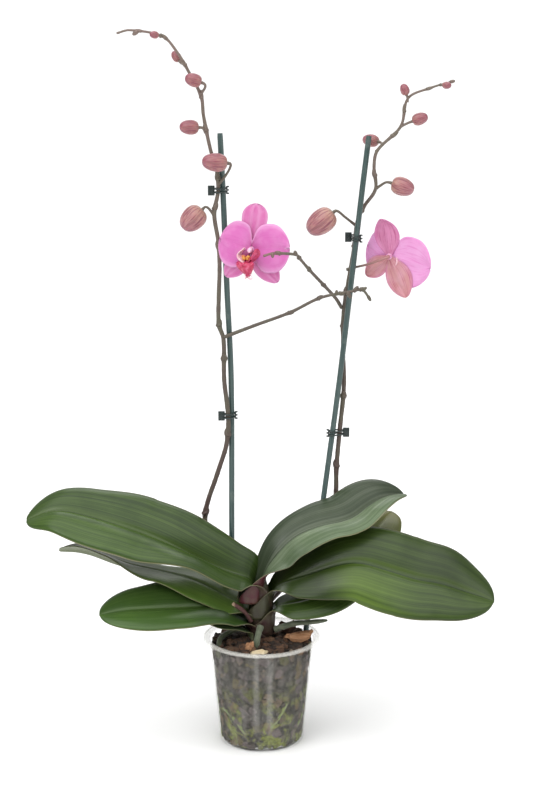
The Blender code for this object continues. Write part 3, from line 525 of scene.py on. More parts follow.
brown_chip = chip_finish("orange brown chip", (0.27, 0.125, 0.060), (0.46, 0.26, 0.14), (0.045, 0.022, 0.016))
dark_chip = chip_finish("dark bark chip", (0.055, 0.028, 0.020), (0.130, 0.070, 0.045), (0.012, 0.008, 0.007))
cream_chip = chip_finish("cream chip", (0.52, 0.42, 0.26), (0.66, 0.56, 0.38), (0.22, 0.12, 0.06))
CHIPS = [("chip_right", "bark_chip_right", (0.0290, 0.0125, 0.0046), (14, -8, 12), 0.9, brown_chip,
          "bark_chip"),
         ("chip_cream", "bark_chip_cream", (0.0175, 0.0072, 0.0050), (8, -3, 4), 0.1, cream_chip,
          "pale_chip"),
         ("chip_orange", "bark_chip_orange", (0.0092, 0.0072, 0.0060), (8, 2, 30), 0.2, brown_chip,
          "bark_chip"),
         ("chip_back", "bark_chip_back", (0.0165, 0.0140, 0.0090), (-4, 6, 20), 0.3, dark_chip, "bark_chip")]
for i, (name, node, size, turn, curl, finish, slot) in enumerate(CHIPS):
    low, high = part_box(node)
    mesh = split_chip(name, size, 70 + i, curl)
    turned = Matrix.Rotation(math.radians(turn[2]), 4, "Z") @ Matrix.Rotation(math.radians(turn[1]), 4, "Y")
    mesh.transform(Matrix.Translation((Vector(low) + Vector(high)) / 2) @ turned
                   @ Matrix.Rotation(math.radians(turn[0]), 4, "X"))
    add_piece(name, mesh, finish, [node], slot)

# ---- The roots ----
# Thick fleshy roots in a spongy silver coat that turns green where it is wet. Three grow in the air over the
# mix, and four have grown along the inside of the wall, where they show through it.


def point_along(points, place):
    """The point at a place from 0 to 1 along a smooth curve through the points, by chord length."""
    points = [Vector(point) for point in points]
    reach = [0.0]
    for first, second in zip(points, points[1:]):
        reach.append(reach[-1] + (second - first).length)
    wanted = place * reach[-1]
    span = max(i for i in range(len(points) - 1) if reach[i] <= wanted or i == 0)
    start, end = points[span], points[span + 1]
    length = reach[span + 1] - reach[span]

    def slope(i):
        low, high = max(i - 1, 0), min(i + 1, len(points) - 1)
        return (points[high] - points[low]) / (reach[high] - reach[low])

    t = (wanted - reach[span]) / length
    return (start * (2 * t**3 - 3 * t**2 + 1) + slope(span) * length * (t**3 - 2 * t**2 + t)
            + end * (3 * t**2 - 2 * t**3) + slope(span + 1) * length * (t**3 - t**2))


def length_of(points):
    route = [point_along(points, i / 60) for i in range(61)]
    return sum((second - first).length for first, second in zip(route, route[1:]))


def ramp_of(stops, place):
    """A value read at a place between (place, value) stops."""
    for (low, first), (high, second) in zip(stops, stops[1:]):
        if place <= high:
            return first + (second - first) * max(0.0, (place - low) / (high - low))
    return stops[-1][1]


round_stem = bpy.data.node_groups.new("round stem along a path", "GeometryNodeTree")
for label, socket_type, default in (("Path", "NodeSocketGeometry", None),
                                    ("Spacing", "NodeSocketFloat", 0.002),
                                    ("Sides", "NodeSocketInt", 14), ("Knobbiness", "NodeSocketFloat", 0.05),
                                    ("Knob size", "NodeSocketFloat", 120.0),
                                    ("Finish", "NodeSocketMaterial", None)):
    entry = round_stem.interface.new_socket(label, in_out="INPUT", socket_type=socket_type)
    if default is not None:
        entry.default_value = default
round_stem.interface.new_socket("Stem", in_out="OUTPUT", socket_type="NodeSocketGeometry")
given = round_stem.nodes.new("NodeGroupInput").outputs
even = put(round_stem, "GeometryNodeResampleCurve", {"Curve": given["Path"], "Length": given["Spacing"]},
           mode="LENGTH")
thickness = put(round_stem, "GeometryNodeInputRadius")
knobs = put(round_stem, "ShaderNodeTexNoise", {"Scale": given["Knob size"], "Detail": 1.0})
swell = put(round_stem, "ShaderNodeMapRange", {"Value": knobs.outputs["Fac"], "From Min": 0.3,
                                               "From Max": 0.7,
                                               "To Min": -1.0, "To Max": 1.0})
share = put(round_stem, "ShaderNodeMath", {0: swell.outputs[0], 1: given["Knobbiness"], 2: 1.0},
            operation="MULTIPLY_ADD")
grown = put(round_stem, "ShaderNodeMath", {0: thickness.outputs[0], 1: share.outputs[0]},
            operation="MULTIPLY")
sized = put(round_stem, "GeometryNodeSetCurveRadius", {"Curve": even.outputs[0], "Radius": grown.outputs[0]})
section = put(round_stem, "GeometryNodeCurvePrimitiveCircle", {"Resolution": given["Sides"], "Radius": 1.0})
swept = put(round_stem, "GeometryNodeCurveToMesh",
            {"Curve": sized.outputs[0], "Profile Curve": section.outputs[0], "Fill Caps": True})
round_stem.links.new(thickness.outputs[0], swept.inputs["Scale"])
smooth_skin = put(round_stem, "GeometryNodeSetShadeSmooth",
                  {"Geometry": swept.outputs[0], "Shade Smooth": True})
plain = put(round_stem, "GeometryNodeRealizeInstances", {"Geometry": smooth_skin.outputs[0]})
coated = put(round_stem, "GeometryNodeSetMaterial", {"Geometry": plain.outputs[0],
                                                     "Material": given["Finish"]})
put(round_stem, "NodeGroupOutput", {"Stem": coated.outputs[0]})


def faced_out(mesh, merge=0.0):
    """The same mesh, smooth, with doubled points merged and every face turned outwards."""
    shape = bmesh.new()
    shape.from_mesh(mesh)
    if merge:
        bmesh.ops.remove_doubles(shape, verts=shape.verts, dist=merge)
    bmesh.ops.recalc_face_normals(shape, faces=shape.faces)
    shape.to_mesh(mesh)
    shape.free()
    mesh.shade_smooth()
    return mesh


def stems(name, routes, finish, **values):
    """Bakes round stems into one mesh. Each route has points and a list of (place, radius) stops."""
    curve = bpy.data.curves.new(name, "CURVE")
    curve.dimensions = "3D"
    for points, widths in routes:
        count = max(8, int(length_of(points) / 0.0025))
        spline = curve.splines.new("POLY")
        spline.points.add(count)
        for i, target in enumerate(spline.points):
            target.co = (*point_along(points, i / count), 1.0)
            target.radius = ramp_of(widths, i / count)
    drawn = bpy.data.objects.new(name, curve)
    bpy.context.scene.collection.objects.link(drawn)
    layer = drawn.modifiers.new("stem", "NODES")
    layer.node_group = round_stem
    wanted = dict(values, Finish=finish)
    for entry in round_stem.interface.items_tree:
        if entry.in_out == "INPUT" and entry.name.replace(" ", "_") in wanted:
            layer[entry.identifier] = wanted[entry.name.replace(" ", "_")]
    bpy.context.view_layer.update()
    mesh = bpy.data.meshes.new_from_object(drawn.evaluated_get(bpy.context.evaluated_depsgraph_get()))
    drawn.modifiers.remove(layer)
    bpy.data.objects.remove(drawn, do_unlink=True)
    mesh.name = name
    faced_out(mesh, merge=1e-6)
    mesh.set_sharp_from_angle(angle=math.radians(60))
    return mesh


def root_finish(name, ground, wet, worn):
    """Spongy root coat: wet blotches over the ground colour, and a fine worn speckle."""
    made, tree, shader = finish_of(name, Roughness=0.62, Sheen_Weight=0.25, Sheen_Roughness=0.5)
    place = object_place(tree)
    blotch = grain(tree, place, 150, 4)
    fine = grain(tree, place, 1400, 3)
    colour = blend(tree, within(tree, blotch, 0.40, 0.66), ground, wet)
    feed(tree, shader, blend(tree, within(tree, fine, 0.50, 0.80, 0.0, 0.45), colour, worn))
    raise_grain(tree, shader, fine, 0.35, 0.0003)
    return made


air_root = root_finish("silver root", (0.060, 0.078, 0.040), (0.115, 0.130, 0.080), (0.200, 0.205, 0.150))
wall_root = root_finish("green root", (0.110, 0.160, 0.030), (0.190, 0.230, 0.070), (0.290, 0.300, 0.150))
AERIAL_ROOTS = [
    ("root_over_rim", "aerial_root_right", [(0.0136, -0.006, 0.120), (0.034, -0.010, 0.128),
                                            (0.050, -0.012, 0.130),
                                            (0.0675, -0.012, 0.132)], 0.0034, 0.55),
    ("root_front", "aerial_root_front", [(-0.001, -0.0165, 0.127), (-0.003, -0.022, 0.122),
                                         (-0.005, -0.027, 0.113),
                                         (-0.005, -0.030, 0.096)], 0.0034, 0.85),
    ("root_left", "aerial_root_left", [(-0.0160, 0.006, 0.118), (-0.030, 0.002, 0.1155),
                                       (-0.043, -0.010, 0.1100),
                                       (-0.041, -0.024, 0.098)], 0.0030, 0.85)]
for name, node, route, radius, taper in AERIAL_ROOTS:
    widths = [(0.0, radius), (0.8, radius * (0.4 + 0.6 * taper)), (0.95, radius * taper),
              (1.0, radius * 0.25)]
    mesh = stems(name, [(route, widths)], air_root, Knobbiness=0.10, Knob_size=140.0)
    add_piece(name, mesh, air_root, [node], "root_silver_green")

# name, CAD node, degrees round from the front towards +X and height at each end, and how far it bows up
WALL_ROOTS = [("wall_root_front_right", "pot_root_front_right", 34, 0.052, 6, 0.024, -0.004),
              ("wall_root_front_left", "pot_root_front_left", -62, 0.040, -20, 0.016, 0.006),
              ("wall_root_right", "pot_root_right", 88, 0.060, 52, 0.020, -0.010),
              ("wall_root_left", "pot_root_left", -96, 0.068, -72, 0.018, 0.008)]
WALL_ROOT_RADIUS = 0.0024
for name, node, first_turn, first_height, last_turn, last_height, bow in WALL_ROOTS:
    route = []
    for i in range(7):
        turn = math.radians(first_turn + (last_turn - first_turn) * i / 6)
        height = first_height + (last_height - first_height) * i / 6 + bow * math.sin(math.pi * i / 6)
        radius = outer_radius(height) - POT_WALL - WALL_ROOT_RADIUS * 1.08 - 0.0003
        route.append((radius * math.sin(turn), -radius * math.cos(turn), height))
    widths = [(0.0, WALL_ROOT_RADIUS), (0.85, WALL_ROOT_RADIUS), (1.0, WALL_ROOT_RADIUS * 0.4)]
    mesh = stems(name, [(route, widths)], wall_root, Knobbiness=0.07, Knob_size=160.0)
    add_piece(name, mesh, wall_root, [node], "root_green")

# ---- The stem ----
# A short woody stem made of stacked leaf bases: each leaf's sheath wraps it and bulges on the leaf's side.
# Dark purple-brown where it is old and dry, with green showing between the sheaths near the top.


def close_rings(name, rings, sides_open=False):
    """A closed skin over rings of points, with a UV map of (share round or across, share along)."""
    count, around = len(rings), len(rings[0])
    corners = [tuple(point) for ring in rings for point in ring]
    for ring in (rings[0], rings[-1]):
        corners.append(tuple(sum((Vector(point) for point in ring), Vector()) / around))
    faces, places = [], []
    for i in range(count - 1):
        for j in range(around):
            k = (j + 1) % around
            faces.append((i * around + j, i * around + k, (i + 1) * around + k, (i + 1) * around + j))
            places.append([(j, i), (j + 1, i), (j + 1, i + 1), (j, i + 1)])
    for end, centre in ((0, len(corners) - 2), (count - 1, len(corners) - 1)):
        for j in range(around):
            k = (j + 1) % around
            faces.append((end * around + j, centre, end * around + k))
            places.append([(j, end), (j + 0.5, end), (j + 1, end)])
    mesh = bpy.data.meshes.new(name)
    mesh.from_pydata(corners, [], faces)
    skin = mesh.uv_layers.new(name="skin")
    across = around // 2
    for polygon, corner_places in zip(mesh.polygons, places):
        for loop, (j, i) in zip(polygon.loop_indices, corner_places):
            if sides_open:
                u = j / (across - 1) if j <= across - 1 else (2 * across - 1 - j) / (across - 1)
            else:
                u = j / around
            skin.data[loop].uv = (min(max(u, 0.0), 1.0), i / (count - 1))
    return faced_out(mesh)


STEM = [(0.088, 0.0080), (0.100, 0.0092), (0.112, 0.0104), (0.125, 0.0108), (0.142, 0.0100), (0.156, 0.0085),
        (0.166, 0.0060), (0.1715, 0.0035), (0.1730, 0.0012)]
SHEATHS = [(0.118, 215, 0.0016), (0.108, 20, 0.0018), (0.128, -80, 0.0012)]
stem_rings = []
for i in range(46):
    height = STEM[0][0] + (STEM[-1][0] - STEM[0][0]) * i / 45
    ring = []
    for j in range(28):
        turn = math.tau * j / 28
        radius = ramp_of(STEM, height) * (1 + 0.05 * math.sin(height * 620 + turn))
        for sheath_height, side, bulge in SHEATHS:
            away = (turn - math.radians(side) + math.pi) % math.tau - math.pi
            radius += bulge * math.exp(-(away / 0.9) ** 2 - ((height - sheath_height + 0.006) / 0.009) ** 2)
        ring.append((radius * math.cos(turn), radius * math.sin(turn), height))
    stem_rings.append(ring)
stem_mesh = close_rings("stem", stem_rings)
stem_finish, tree, shader = finish_of("old leaf bases", Roughness=0.55)
place = object_place(tree)
fibres = grain(tree, stretched(tree, place, (500, 500, 60)), 1.0, 4)
colour = ramp(tree, within(tree, axis(tree, place, "Z"), 0.100, 0.178),
              [(0.0, (0.030, 0.024, 0.016)), (0.45, (0.050, 0.048, 0.026)),
(0.75, (0.060, 0.050, 0.030)), (1.0, (0.050, 0.060, 0.024))])
feed(tree, shader, blend(tree, within(tree, fibres, 0.50, 0.72, 0.0, 0.6), colour, (0.12, 0.095, 0.055)))
raise_grain(tree, shader, fibres, 0.5, 0.0008)
add_piece("stem", stem_mesh, stem_finish, ["plant_stem"], "stem_skin")

# ---- The leaves ----
# Thick leathery straps in two ranks. Each has a sunk midrib with a keel below it, two sides that arch up from
# the midrib and roll down to a blunt margin, fine parallel veins, and a red-purple flush at its clasping
# foot. Painted shade and painted light darken and lighten parts of each blade.


def ease(share):
    share = max(0.0, min(1.0, share))
    return share * share * (3 - 2 * share)


def leaf_half_width(place, leaf):
    """Half the width of a strap leaf: it swells from a folded foot and ends in a round tip."""
    if place < leaf["widest"]:
        swell = math.sin(math.pi / 2 * place / leaf["widest"]) ** leaf["swell"]
        return leaf["foot"] + (leaf["half_width"] - leaf["foot"]) * swell
    past = (place - leaf["widest"]) / (1 - leaf["widest"])
    return leaf["half_width"] * math.sqrt(max(1 - past**2.4, 0.0)) + 0.0004


def slope_at(slopes, place):
    """A slope in degrees read at a place between evenly spaced ones."""
    at = place * (len(slopes) - 1)
    low = min(int(at), len(slopes) - 2)
    return slopes[low] + (slopes[low + 1] - slopes[low]) * ease(at - low)


def relaxed(route, count=121, rounds=24):
    """A route resampled evenly, with its small kinks smoothed out and its ends kept."""
    points = [point_along(route, i / (count - 1)) for i in range(count)]
    for _ in range(rounds):
        points = [points[0]] + [(points[i - 1] + points[i] * 2 + points[i + 1]) / 4
                                for i in range(1, count - 1)] + [points[-1]]
    return points


def between(points, place):
    at = max(0.0, min(1.0, place)) * (len(points) - 1)
    low = min(int(at), len(points) - 2)
    return points[low].lerp(points[low + 1], at - low)


def thick_sheet(name, rows, body_of, flag):
    """A closed sheet over rows of middle points: its upper side across, then its lower side back."""
    count, across = len(rows), len(rows[0])
    rings = []
    for i, row in enumerate(rows):
        above, below = [], []
        for j, middle in enumerate(row):
            ahead, behind = rows[min(i + 1, count - 1)][j], rows[max(i - 1, 0)][j]
            normal = (row[min(j + 1, across - 1)] - row[max(j - 1, 0)]).cross(ahead - behind).normalized()
            up, down = body_of(i / (count - 1), -1 + 2 * j / (across - 1))
            above.append(middle + normal * up)
            below.append(middle - normal * down)
        rings.append(above + below[::-1])
    mesh = close_rings(name, rings, sides_open=True)
    layer = mesh.attributes.new(flag, "FLOAT", "POINT")
    values = [0.0 if j < across else 1.0 for _ in range(count) for j in range(2 * across)] + [0.5, 0.5]
    layer.data.foreach_set("value", values)
    return mesh


def leaf_skin(name, leaf):
    """A leaf from its clasping sheath to its tip, in rows from the far margin to the near one."""
    stations, across = 110, 27
    route = leaf["sheath"] + leaf["midrib"]
    path = relaxed(route)
    start = length_of(leaf["sheath"] + [leaf["midrib"][0]]) / length_of(route)
    outward = 1 if leaf["midrib"][-1][0] > 0 else -1
    rows = []
    for i in range(stations):
        place = 1 - (1 - i / (stations - 1)) ** 1.4
        here = between(path, place)
        along = (between(path, min(place + 0.015, 1)) - between(path, max(place - 0.015, 0))).normalized()
        level = along.cross(Vector((0, 0, 1)))
        level *= -1 if level.y > 0 else 1
        near_side = (level + Vector((0, -1, 0)) * max(0.0, 0.7 - level.length)).normalized()
        near_side = (near_side - along * near_side.dot(along)).normalized()
        rise = near_side.cross(along).normalized() * outward
        blade = max(0.0, (place - start) / (1 - start))
        width = leaf_half_width(blade, leaf)
        if place < start:
            width = leaf["foot"] + (leaf["clasp"] - leaf["foot"]) * (1 - ease(place / start))
        near, far = math.radians(slope_at(leaf["near"], blade)), math.radians(slope_at(leaf["far"], blade))
        to_near = near_side * math.cos(near) - rise * math.sin(near)
        near_up = rise * math.cos(near) + near_side * math.sin(near)
        to_far = rise * math.sin(far) - near_side * math.cos(far)
        far_up = rise * math.cos(far) + near_side * math.sin(far)
        channel = 1 - ease((place - start * 0.7) / leaf["fold"])
        bend = leaf["clasp_radius"] * (1 + 1.2 * ease(place / (start + leaf["fold"])))
        crown = leaf["crown"] * width * ease(blade * 4)
        wave = leaf["wave"] * math.sin(math.tau * (leaf["waves"] * place + leaf["phase"])) * ease(blade * 3)
        row = []
        for j in range(across):
            share = -1 + 2 * j / (across - 1)
            reach = abs(share)
            side, up = (to_near, near_up) if share > 0 else (to_far, far_up)
            arch = crown * (4 * reach * (1 - reach)) ** 0.8 - leaf["roll"] * width * reach**6
            open_place = side * width * reach + up * (arch + wave * reach**2)
            turn = share * width / bend
            shut_place = near_side * math.sin(turn) * bend + rise * (1 - math.cos(turn)) * bend
            sunk = rise * -0.0016 * math.exp(-(share / 0.05) ** 2) * ease(blade * 5) * min(1.0,
                                                                                           (1 - place) * 9)
            row.append(here + open_place.lerp(shut_place, channel) + sunk)
        rows.append(row)

    def body_of(place, share):
        keel = 0.0013 * math.exp(-(share / 0.12) ** 2) * (1 - place) ** 0.5
        body = 0.00045 + 0.0006 * (1 - share**2)
        return body, body + keel

    return thick_sheet(name, [row[::-1] for row in rows] if outward < 0 else rows, body_of, "under")


def leaf_finish(name, leaf, seed):
    """Leaf skin: parallel veins, slow bands, a thin pale margin, a flushed foot and back, with painted shade
    along the blade and in the midrib, painted highlights beside the midrib, and painted light on one half and
    through a patch.
    """
    shades, below = leaf["greens"], leaf["below"]
    made, tree, shader = finish_of(name, Specular_IOR_Level=0.30, Coat_Weight=0.03, Coat_Roughness=0.2)
    skin = put(tree, "ShaderNodeUVMap", uv_map="skin").outputs[0]
    across, along = axis(tree, skin, "X"), axis(tree, skin, "Y")
    place = object_place(tree)
    veins = grain(tree, stretched(tree, skin, (78, 1.3, 1), seed), 1.0, 4, 0.65)
    bands = grain(tree, stretched(tree, skin, (26, 0.7, 1), seed), 1.0, 2, 0.5)
    mottle = grain(tree, place, 28, 3)
    colour = ramp(tree, bands, [(0.15, shades[0]), (0.50, shades[1]), (1.0, shades[2])])
    colour = blend(tree, within(tree, veins, 0.50, 0.66, 0.0, 0.42), colour, shades[2])
    colour = blend(tree, within(tree, veins, 0.48, 0.34, 0.0, 0.48), colour, shades[0])
    colour = blend(tree, within(tree, mottle, 0.45, 0.75, 0.0, 0.45), colour, shades[0])
    from_mid = figure(tree, "ABSOLUTE", figure(tree, "SUBTRACT", across, 0.5))
    # The far and near half of the blade are darkened and lightened by a pair of multipliers: painted shade on
    # one half and painted light on the other.
    far_half_shading, near_half_shading = leaf["painted_half_shading"] if leaf["midrib"][-1][0] > 0 else leaf["painted_half_shading"][::-1]
    painted_half_shading = ramp(tree, across, [(0.0, (far_half_shading,) * 3), (0.485, (far_half_shading,) * 3), (0.515, (near_half_shading,) * 3),
                                 (1.0, (near_half_shading,) * 3)])
    colour = blend(tree, 1.0, colour, painted_half_shading, "MULTIPLY")
    # Painted shade darkens the sunk midrib, and a painted highlight lightens a stripe to each side of it.
    colour = blend(tree, within(tree, from_mid, 0.011, 0.004, 0.0, 0.75), colour, shades[0])
    beside = figure(tree, "MULTIPLY", within(tree, from_mid, 0.012, 0.03), within(tree, from_mid, 0.09, 0.04))
    colour = blend(tree, figure(tree, "MULTIPLY", beside, 0.35), colour, shades[2])
    colour = blend(tree, within(tree, from_mid, 0.488, 0.498, 0.0, 0.8), colour, (0.26, 0.24, 0.13))
    # A painted patch of light where light shines through the near half of the blade.
    if "glow" in leaf:
        start, end = leaf["glow"]
        painted_glow = figure(tree, "MULTIPLY", within(tree, along, start, start + 0.09),
                     within(tree, along, end, end - 0.22))
        painted_glow = figure(tree, "MULTIPLY", painted_glow, within(tree, across, 0.52, 0.72, 0.0, 0.62))
        painted_glow = figure(tree, "MULTIPLY", painted_glow, within(tree, bands, 0.30, 0.62, 0.35, 1.0))
        colour = blend(tree, painted_glow, colour, (0.135, 0.220, 0.030))
    if "tip" in leaf:
        colour = blend(tree, within(tree, along, leaf["tip_from"], 1.0, 0.0, 0.85), colour, leaf["tip"])
    # The shade stops darken the leaf along its length: painted shade.
    colour = blend(tree, 1.0, colour, ramp(tree, along, [(at, (v, v, v)) for at, v in leaf["shade"]]),
                   "MULTIPLY")
    back = blend(tree, veins, below, shades[1])
    flushed = within(tree, grain(tree, place, 110, 3), 0.35, 0.65, 0.75, 1.0)
    reach = within(tree, along, leaf["flush_to"] + 0.07, leaf["flush_to"])
    back = blend(tree, figure(tree, "MULTIPLY", reach, flushed), back, leaf["flush"])
    under = put(tree, "ShaderNodeAttribute", attribute_name="under").outputs["Fac"]
    feed(tree, shader, blend(tree, within(tree, under, 0.4, 0.6), colour, back),
         within(tree, mottle, 0.3, 0.7, 0.30, 0.42))
    raise_grain(tree, shader, blend(tree, 0.5, veins, grain(tree, place, 700, 2)), 0.16, 0.0008)
    return made


GREENS = ((0.014, 0.034, 0.005), (0.038, 0.076, 0.010), (0.092, 0.150, 0.030))
# The shade stops paint shade along each leaf, darkest at its foot under the crown; the pair of multipliers
# for the far and near half paints shade on one half and light on the other.
PLAIN_LEAF = dict(greens=GREENS, below=(0.120, 0.135, 0.060), flush=(0.040, 0.018, 0.018), flush_to=0.12,
                  shade=[(0.0, 0.55), (0.25, 0.80), (0.5, 1.0), (1.0, 0.95)], painted_half_shading=(0.84, 1.06))
LEAVES = [
    dict(PLAIN_LEAF, name="leaf_blade_left_upper", node="leaf_left_upper", half_width=0.044, foot=0.025,
         widest=0.50, swell=0.75,
         sheath=[(-0.0085, 0.001, 0.142), (-0.0105, 0.000, 0.158)], clasp=0.026, clasp_radius=0.0115,
         fold=0.07,
         midrib=[(-0.0097, 0.000, 0.172), (-0.030, 0.000, 0.178), (-0.065, 0.002, 0.193),
                 (-0.105, 0.006, 0.212),
                 (-0.147, 0.012, 0.226), (-0.187, 0.018, 0.236), (-0.213, 0.021, 0.239),
                 (-0.242, 0.024, 0.227)],
         near=(12, -4, 17, 24, 24), far=(60, 58, 43, 30, 25),
         crown=0.10, roll=0.05, wave=0.0010, waves=1.3, phase=0.1, flush_to=0.08),
    dict(PLAIN_LEAF, name="leaf_blade_left_middle", node="leaf_left_middle", half_width=0.028, foot=0.017,
         widest=0.50, swell=0.9,
         sheath=[(-0.0105, 0.002, 0.112), (-0.0125, 0.002, 0.126)], clasp=0.032, clasp_radius=0.0125,
         fold=0.12,
         midrib=[(-0.0135, 0.002, 0.138), (-0.040, 0.006, 0.154), (-0.070, 0.010, 0.168),
                 (-0.105, 0.014, 0.176),
                 (-0.146, 0.020, 0.183), (-0.184, 0.028, 0.194), (-0.210, 0.034, 0.192)],
         near=(30, 28, 2, -28, -30), far=(10, 5, -5, 0, 10),
         crown=0.04, roll=0.03, wave=0.0008, waves=1.7, phase=0.6, below=(0.150, 0.130, 0.105), flush_to=0.06,
         greens=((0.040, 0.085, 0.012), (0.080, 0.145, 0.022), (0.125, 0.195, 0.040)),
         tip=(0.085, 0.080, 0.055),
         tip_from=0.35, shade=[(0.0, 0.7), (0.2, 1.0), (0.5, 0.8), (1.0, 0.7)]),
    dict(PLAIN_LEAF, name="leaf_blade_left_lower", node="leaf_left_lower", half_width=0.036, foot=0.019,
         widest=0.55, swell=0.9,
         sheath=[(-0.0115, 0.000, 0.102), (-0.0135, 0.000, 0.115)], clasp=0.030, clasp_radius=0.0130,
         fold=0.14,
         midrib=[(-0.0145, -0.001, 0.126), (-0.033, -0.003, 0.138), (-0.056, -0.008, 0.144),
                 (-0.082, -0.014, 0.145), (-0.107, -0.020, 0.146), (-0.141, -0.028, 0.147),
                 (-0.163, -0.034, 0.145)],
         near=(10, 8, 12, 15, 15), far=(38, 40, 36, 27, 20),
         crown=0.07, roll=0.05, wave=0.0007, waves=1.5, phase=0.3,
         greens=((0.022, 0.054, 0.009), (0.044, 0.094, 0.016), (0.085, 0.150, 0.034)),
         shade=[(0.0, 0.45), (0.22, 0.62), (0.42, 0.9), (0.7, 1.0), (1.0, 0.95)]),
    # The upper right leaf: its greens are greyed and paled as a painted sheen, and its near half is lightened
    # and far half darkened far more than the others', as painted light and shade.
    dict(PLAIN_LEAF, name="leaf_blade_right_upper", node="leaf_right_upper", half_width=0.035, foot=0.020,
         widest=0.60, swell=1.6,
         sheath=[(0.0000, -0.003, 0.150), (0.0005, -0.002, 0.164)], clasp=0.034, clasp_radius=0.0128,
         fold=0.17,
         midrib=[(0.003, 0.000, 0.1773), (0.017, 0.003, 0.200), (0.036, 0.008, 0.216), (0.060, 0.013, 0.224),
                 (0.081, 0.020, 0.226), (0.096, 0.028, 0.229), (0.111, 0.038, 0.238), (0.127, 0.048, 0.244),
                 (0.149, 0.060, 0.244)],
         near=(48, 24, 2, -12, -15), far=(40, 32, 35, 38, 35),
         crown=0.09, roll=0.04, wave=0.0006, waves=1.4, phase=0.8, flush=(0.070, 0.016, 0.022), flush_to=0.17,
         painted_half_shading=(0.55, 1.45),
         greens=((0.024, 0.048, 0.016), (0.078, 0.112, 0.056), (0.205, 0.242, 0.168)),
         shade=[(0.0, 0.55), (0.20, 0.75), (0.35, 0.95), (0.6, 1.0), (0.85, 0.75), (1.0, 0.7)]),
    # The big right leaf: its shade stops paint the shadow that the leaf above casts across it, and its glow
    # paints light shining through its near half beyond that shadow.
    dict(PLAIN_LEAF, name="leaf_blade_right_middle", node="leaf_right_middle", half_width=0.046, foot=0.016,
         widest=0.60,
         swell=0.9, sheath=[(0.0085, -0.002, 0.132), (0.0100, -0.002, 0.148)], clasp=0.034,
         clasp_radius=0.0122,
         fold=0.13,
         midrib=[(0.0115, -0.003, 0.163), (0.048, -0.005, 0.179), (0.080, -0.008, 0.191),
                 (0.100, -0.010, 0.194),
                 (0.120, -0.012, 0.189), (0.140, -0.014, 0.183), (0.161, -0.016, 0.177),
                 (0.180, -0.018, 0.175),
                 (0.201, -0.020, 0.168), (0.222, -0.022, 0.161), (0.235, -0.024, 0.156)],
         near=(20, 50, 50, 42, 35), far=(40, 45, 48, 42, 30),
         crown=0.09, roll=0.04, wave=0.0011, waves=1.6, phase=0.0, flush=(0.034, 0.026, 0.019),
         painted_half_shading=(0.78, 1.05),
         greens=((0.016, 0.036, 0.005), (0.042, 0.078, 0.011), (0.090, 0.142, 0.028)), glow=(0.22, 0.60),
         shade=[(0.0, 0.75), (0.12, 0.50), (0.23, 0.40), (0.34, 0.82), (0.46, 0.92), (0.66, 0.70),
                (1.0, 0.80)])]


def add_leaves(leaves, slot, first_seed, seed_step):
    for i, leaf in enumerate(leaves):
        finish = leaf_finish(leaf["name"].replace("_", " "), leaf, first_seed + seed_step * i)
        add_piece(leaf["name"], leaf_skin(leaf["name"], leaf), finish, [leaf["node"]], slot)


add_leaves(LEAVES, "leaf_green", 0.0, 3.7)

# ---- The old leaves ----
# Two leaves past their best: one behind the big right leaf that is yellowing from its tip, which has gone
# dark, and the stump of a leaf that was cut off low on the left, with a dried pale end.
OLD_LEAVES = [
    # The yellowing old leaf: its shade stops darken its foot as painted shade, and their last stop darkens
    # the tip, which has really gone dark.
    dict(PLAIN_LEAF, name="leaf_blade_right_lower", node="leaf_right_lower", half_width=0.031, foot=0.014,
         widest=0.50, swell=0.9,
         sheath=[(0.0105, -0.002, 0.116), (0.0120, -0.003, 0.130)], clasp=0.032, clasp_radius=0.0128,
         fold=0.13,
         midrib=[(0.0125, -0.004, 0.143), (0.039, -0.008, 0.151), (0.065, -0.002, 0.160),
                 (0.088, 0.020, 0.175),
                 (0.108, 0.050, 0.192), (0.127, 0.085, 0.207), (0.140, 0.110, 0.211)],
         near=(35, 42, 28, 15, 10), far=(20, 20, 20, 15, 10),
         crown=0.06, roll=0.05, wave=0.0016, waves=2.1, phase=0.4, tip=(0.165, 0.150, 0.040), tip_from=0.50,
         shade=[(0.0, 0.6), (0.2, 0.75), (0.5, 0.7), (0.92, 0.8), (1.0, 0.45)]),
    dict(PLAIN_LEAF, name="leaf_blade_left_stump", node="leaf_left_remnant", half_width=0.008, foot=0.008,
         widest=0.50, swell=0.9,
         sheath=[(-0.0100, -0.0060, 0.100), (-0.0115, -0.0072, 0.110)], clasp=0.018, clasp_radius=0.0125,
         fold=0.3,
         midrib=[(-0.0122, -0.0078, 0.118), (-0.030, -0.015, 0.127), (-0.052, -0.021, 0.131)],
         near=(10, 10, 10, 10, 10), far=(20, 20, 20, 20, 20),
         crown=0.08, roll=0.05, wave=0.0004, waves=2.0, phase=0.2,
         greens=((0.014, 0.028, 0.010), (0.028, 0.046, 0.016), (0.055, 0.072, 0.030)), tip=(0.62, 0.50, 0.28),
         tip_from=0.88)]
add_leaves(OLD_LEAVES, "old_leaf_green", 31, 5)

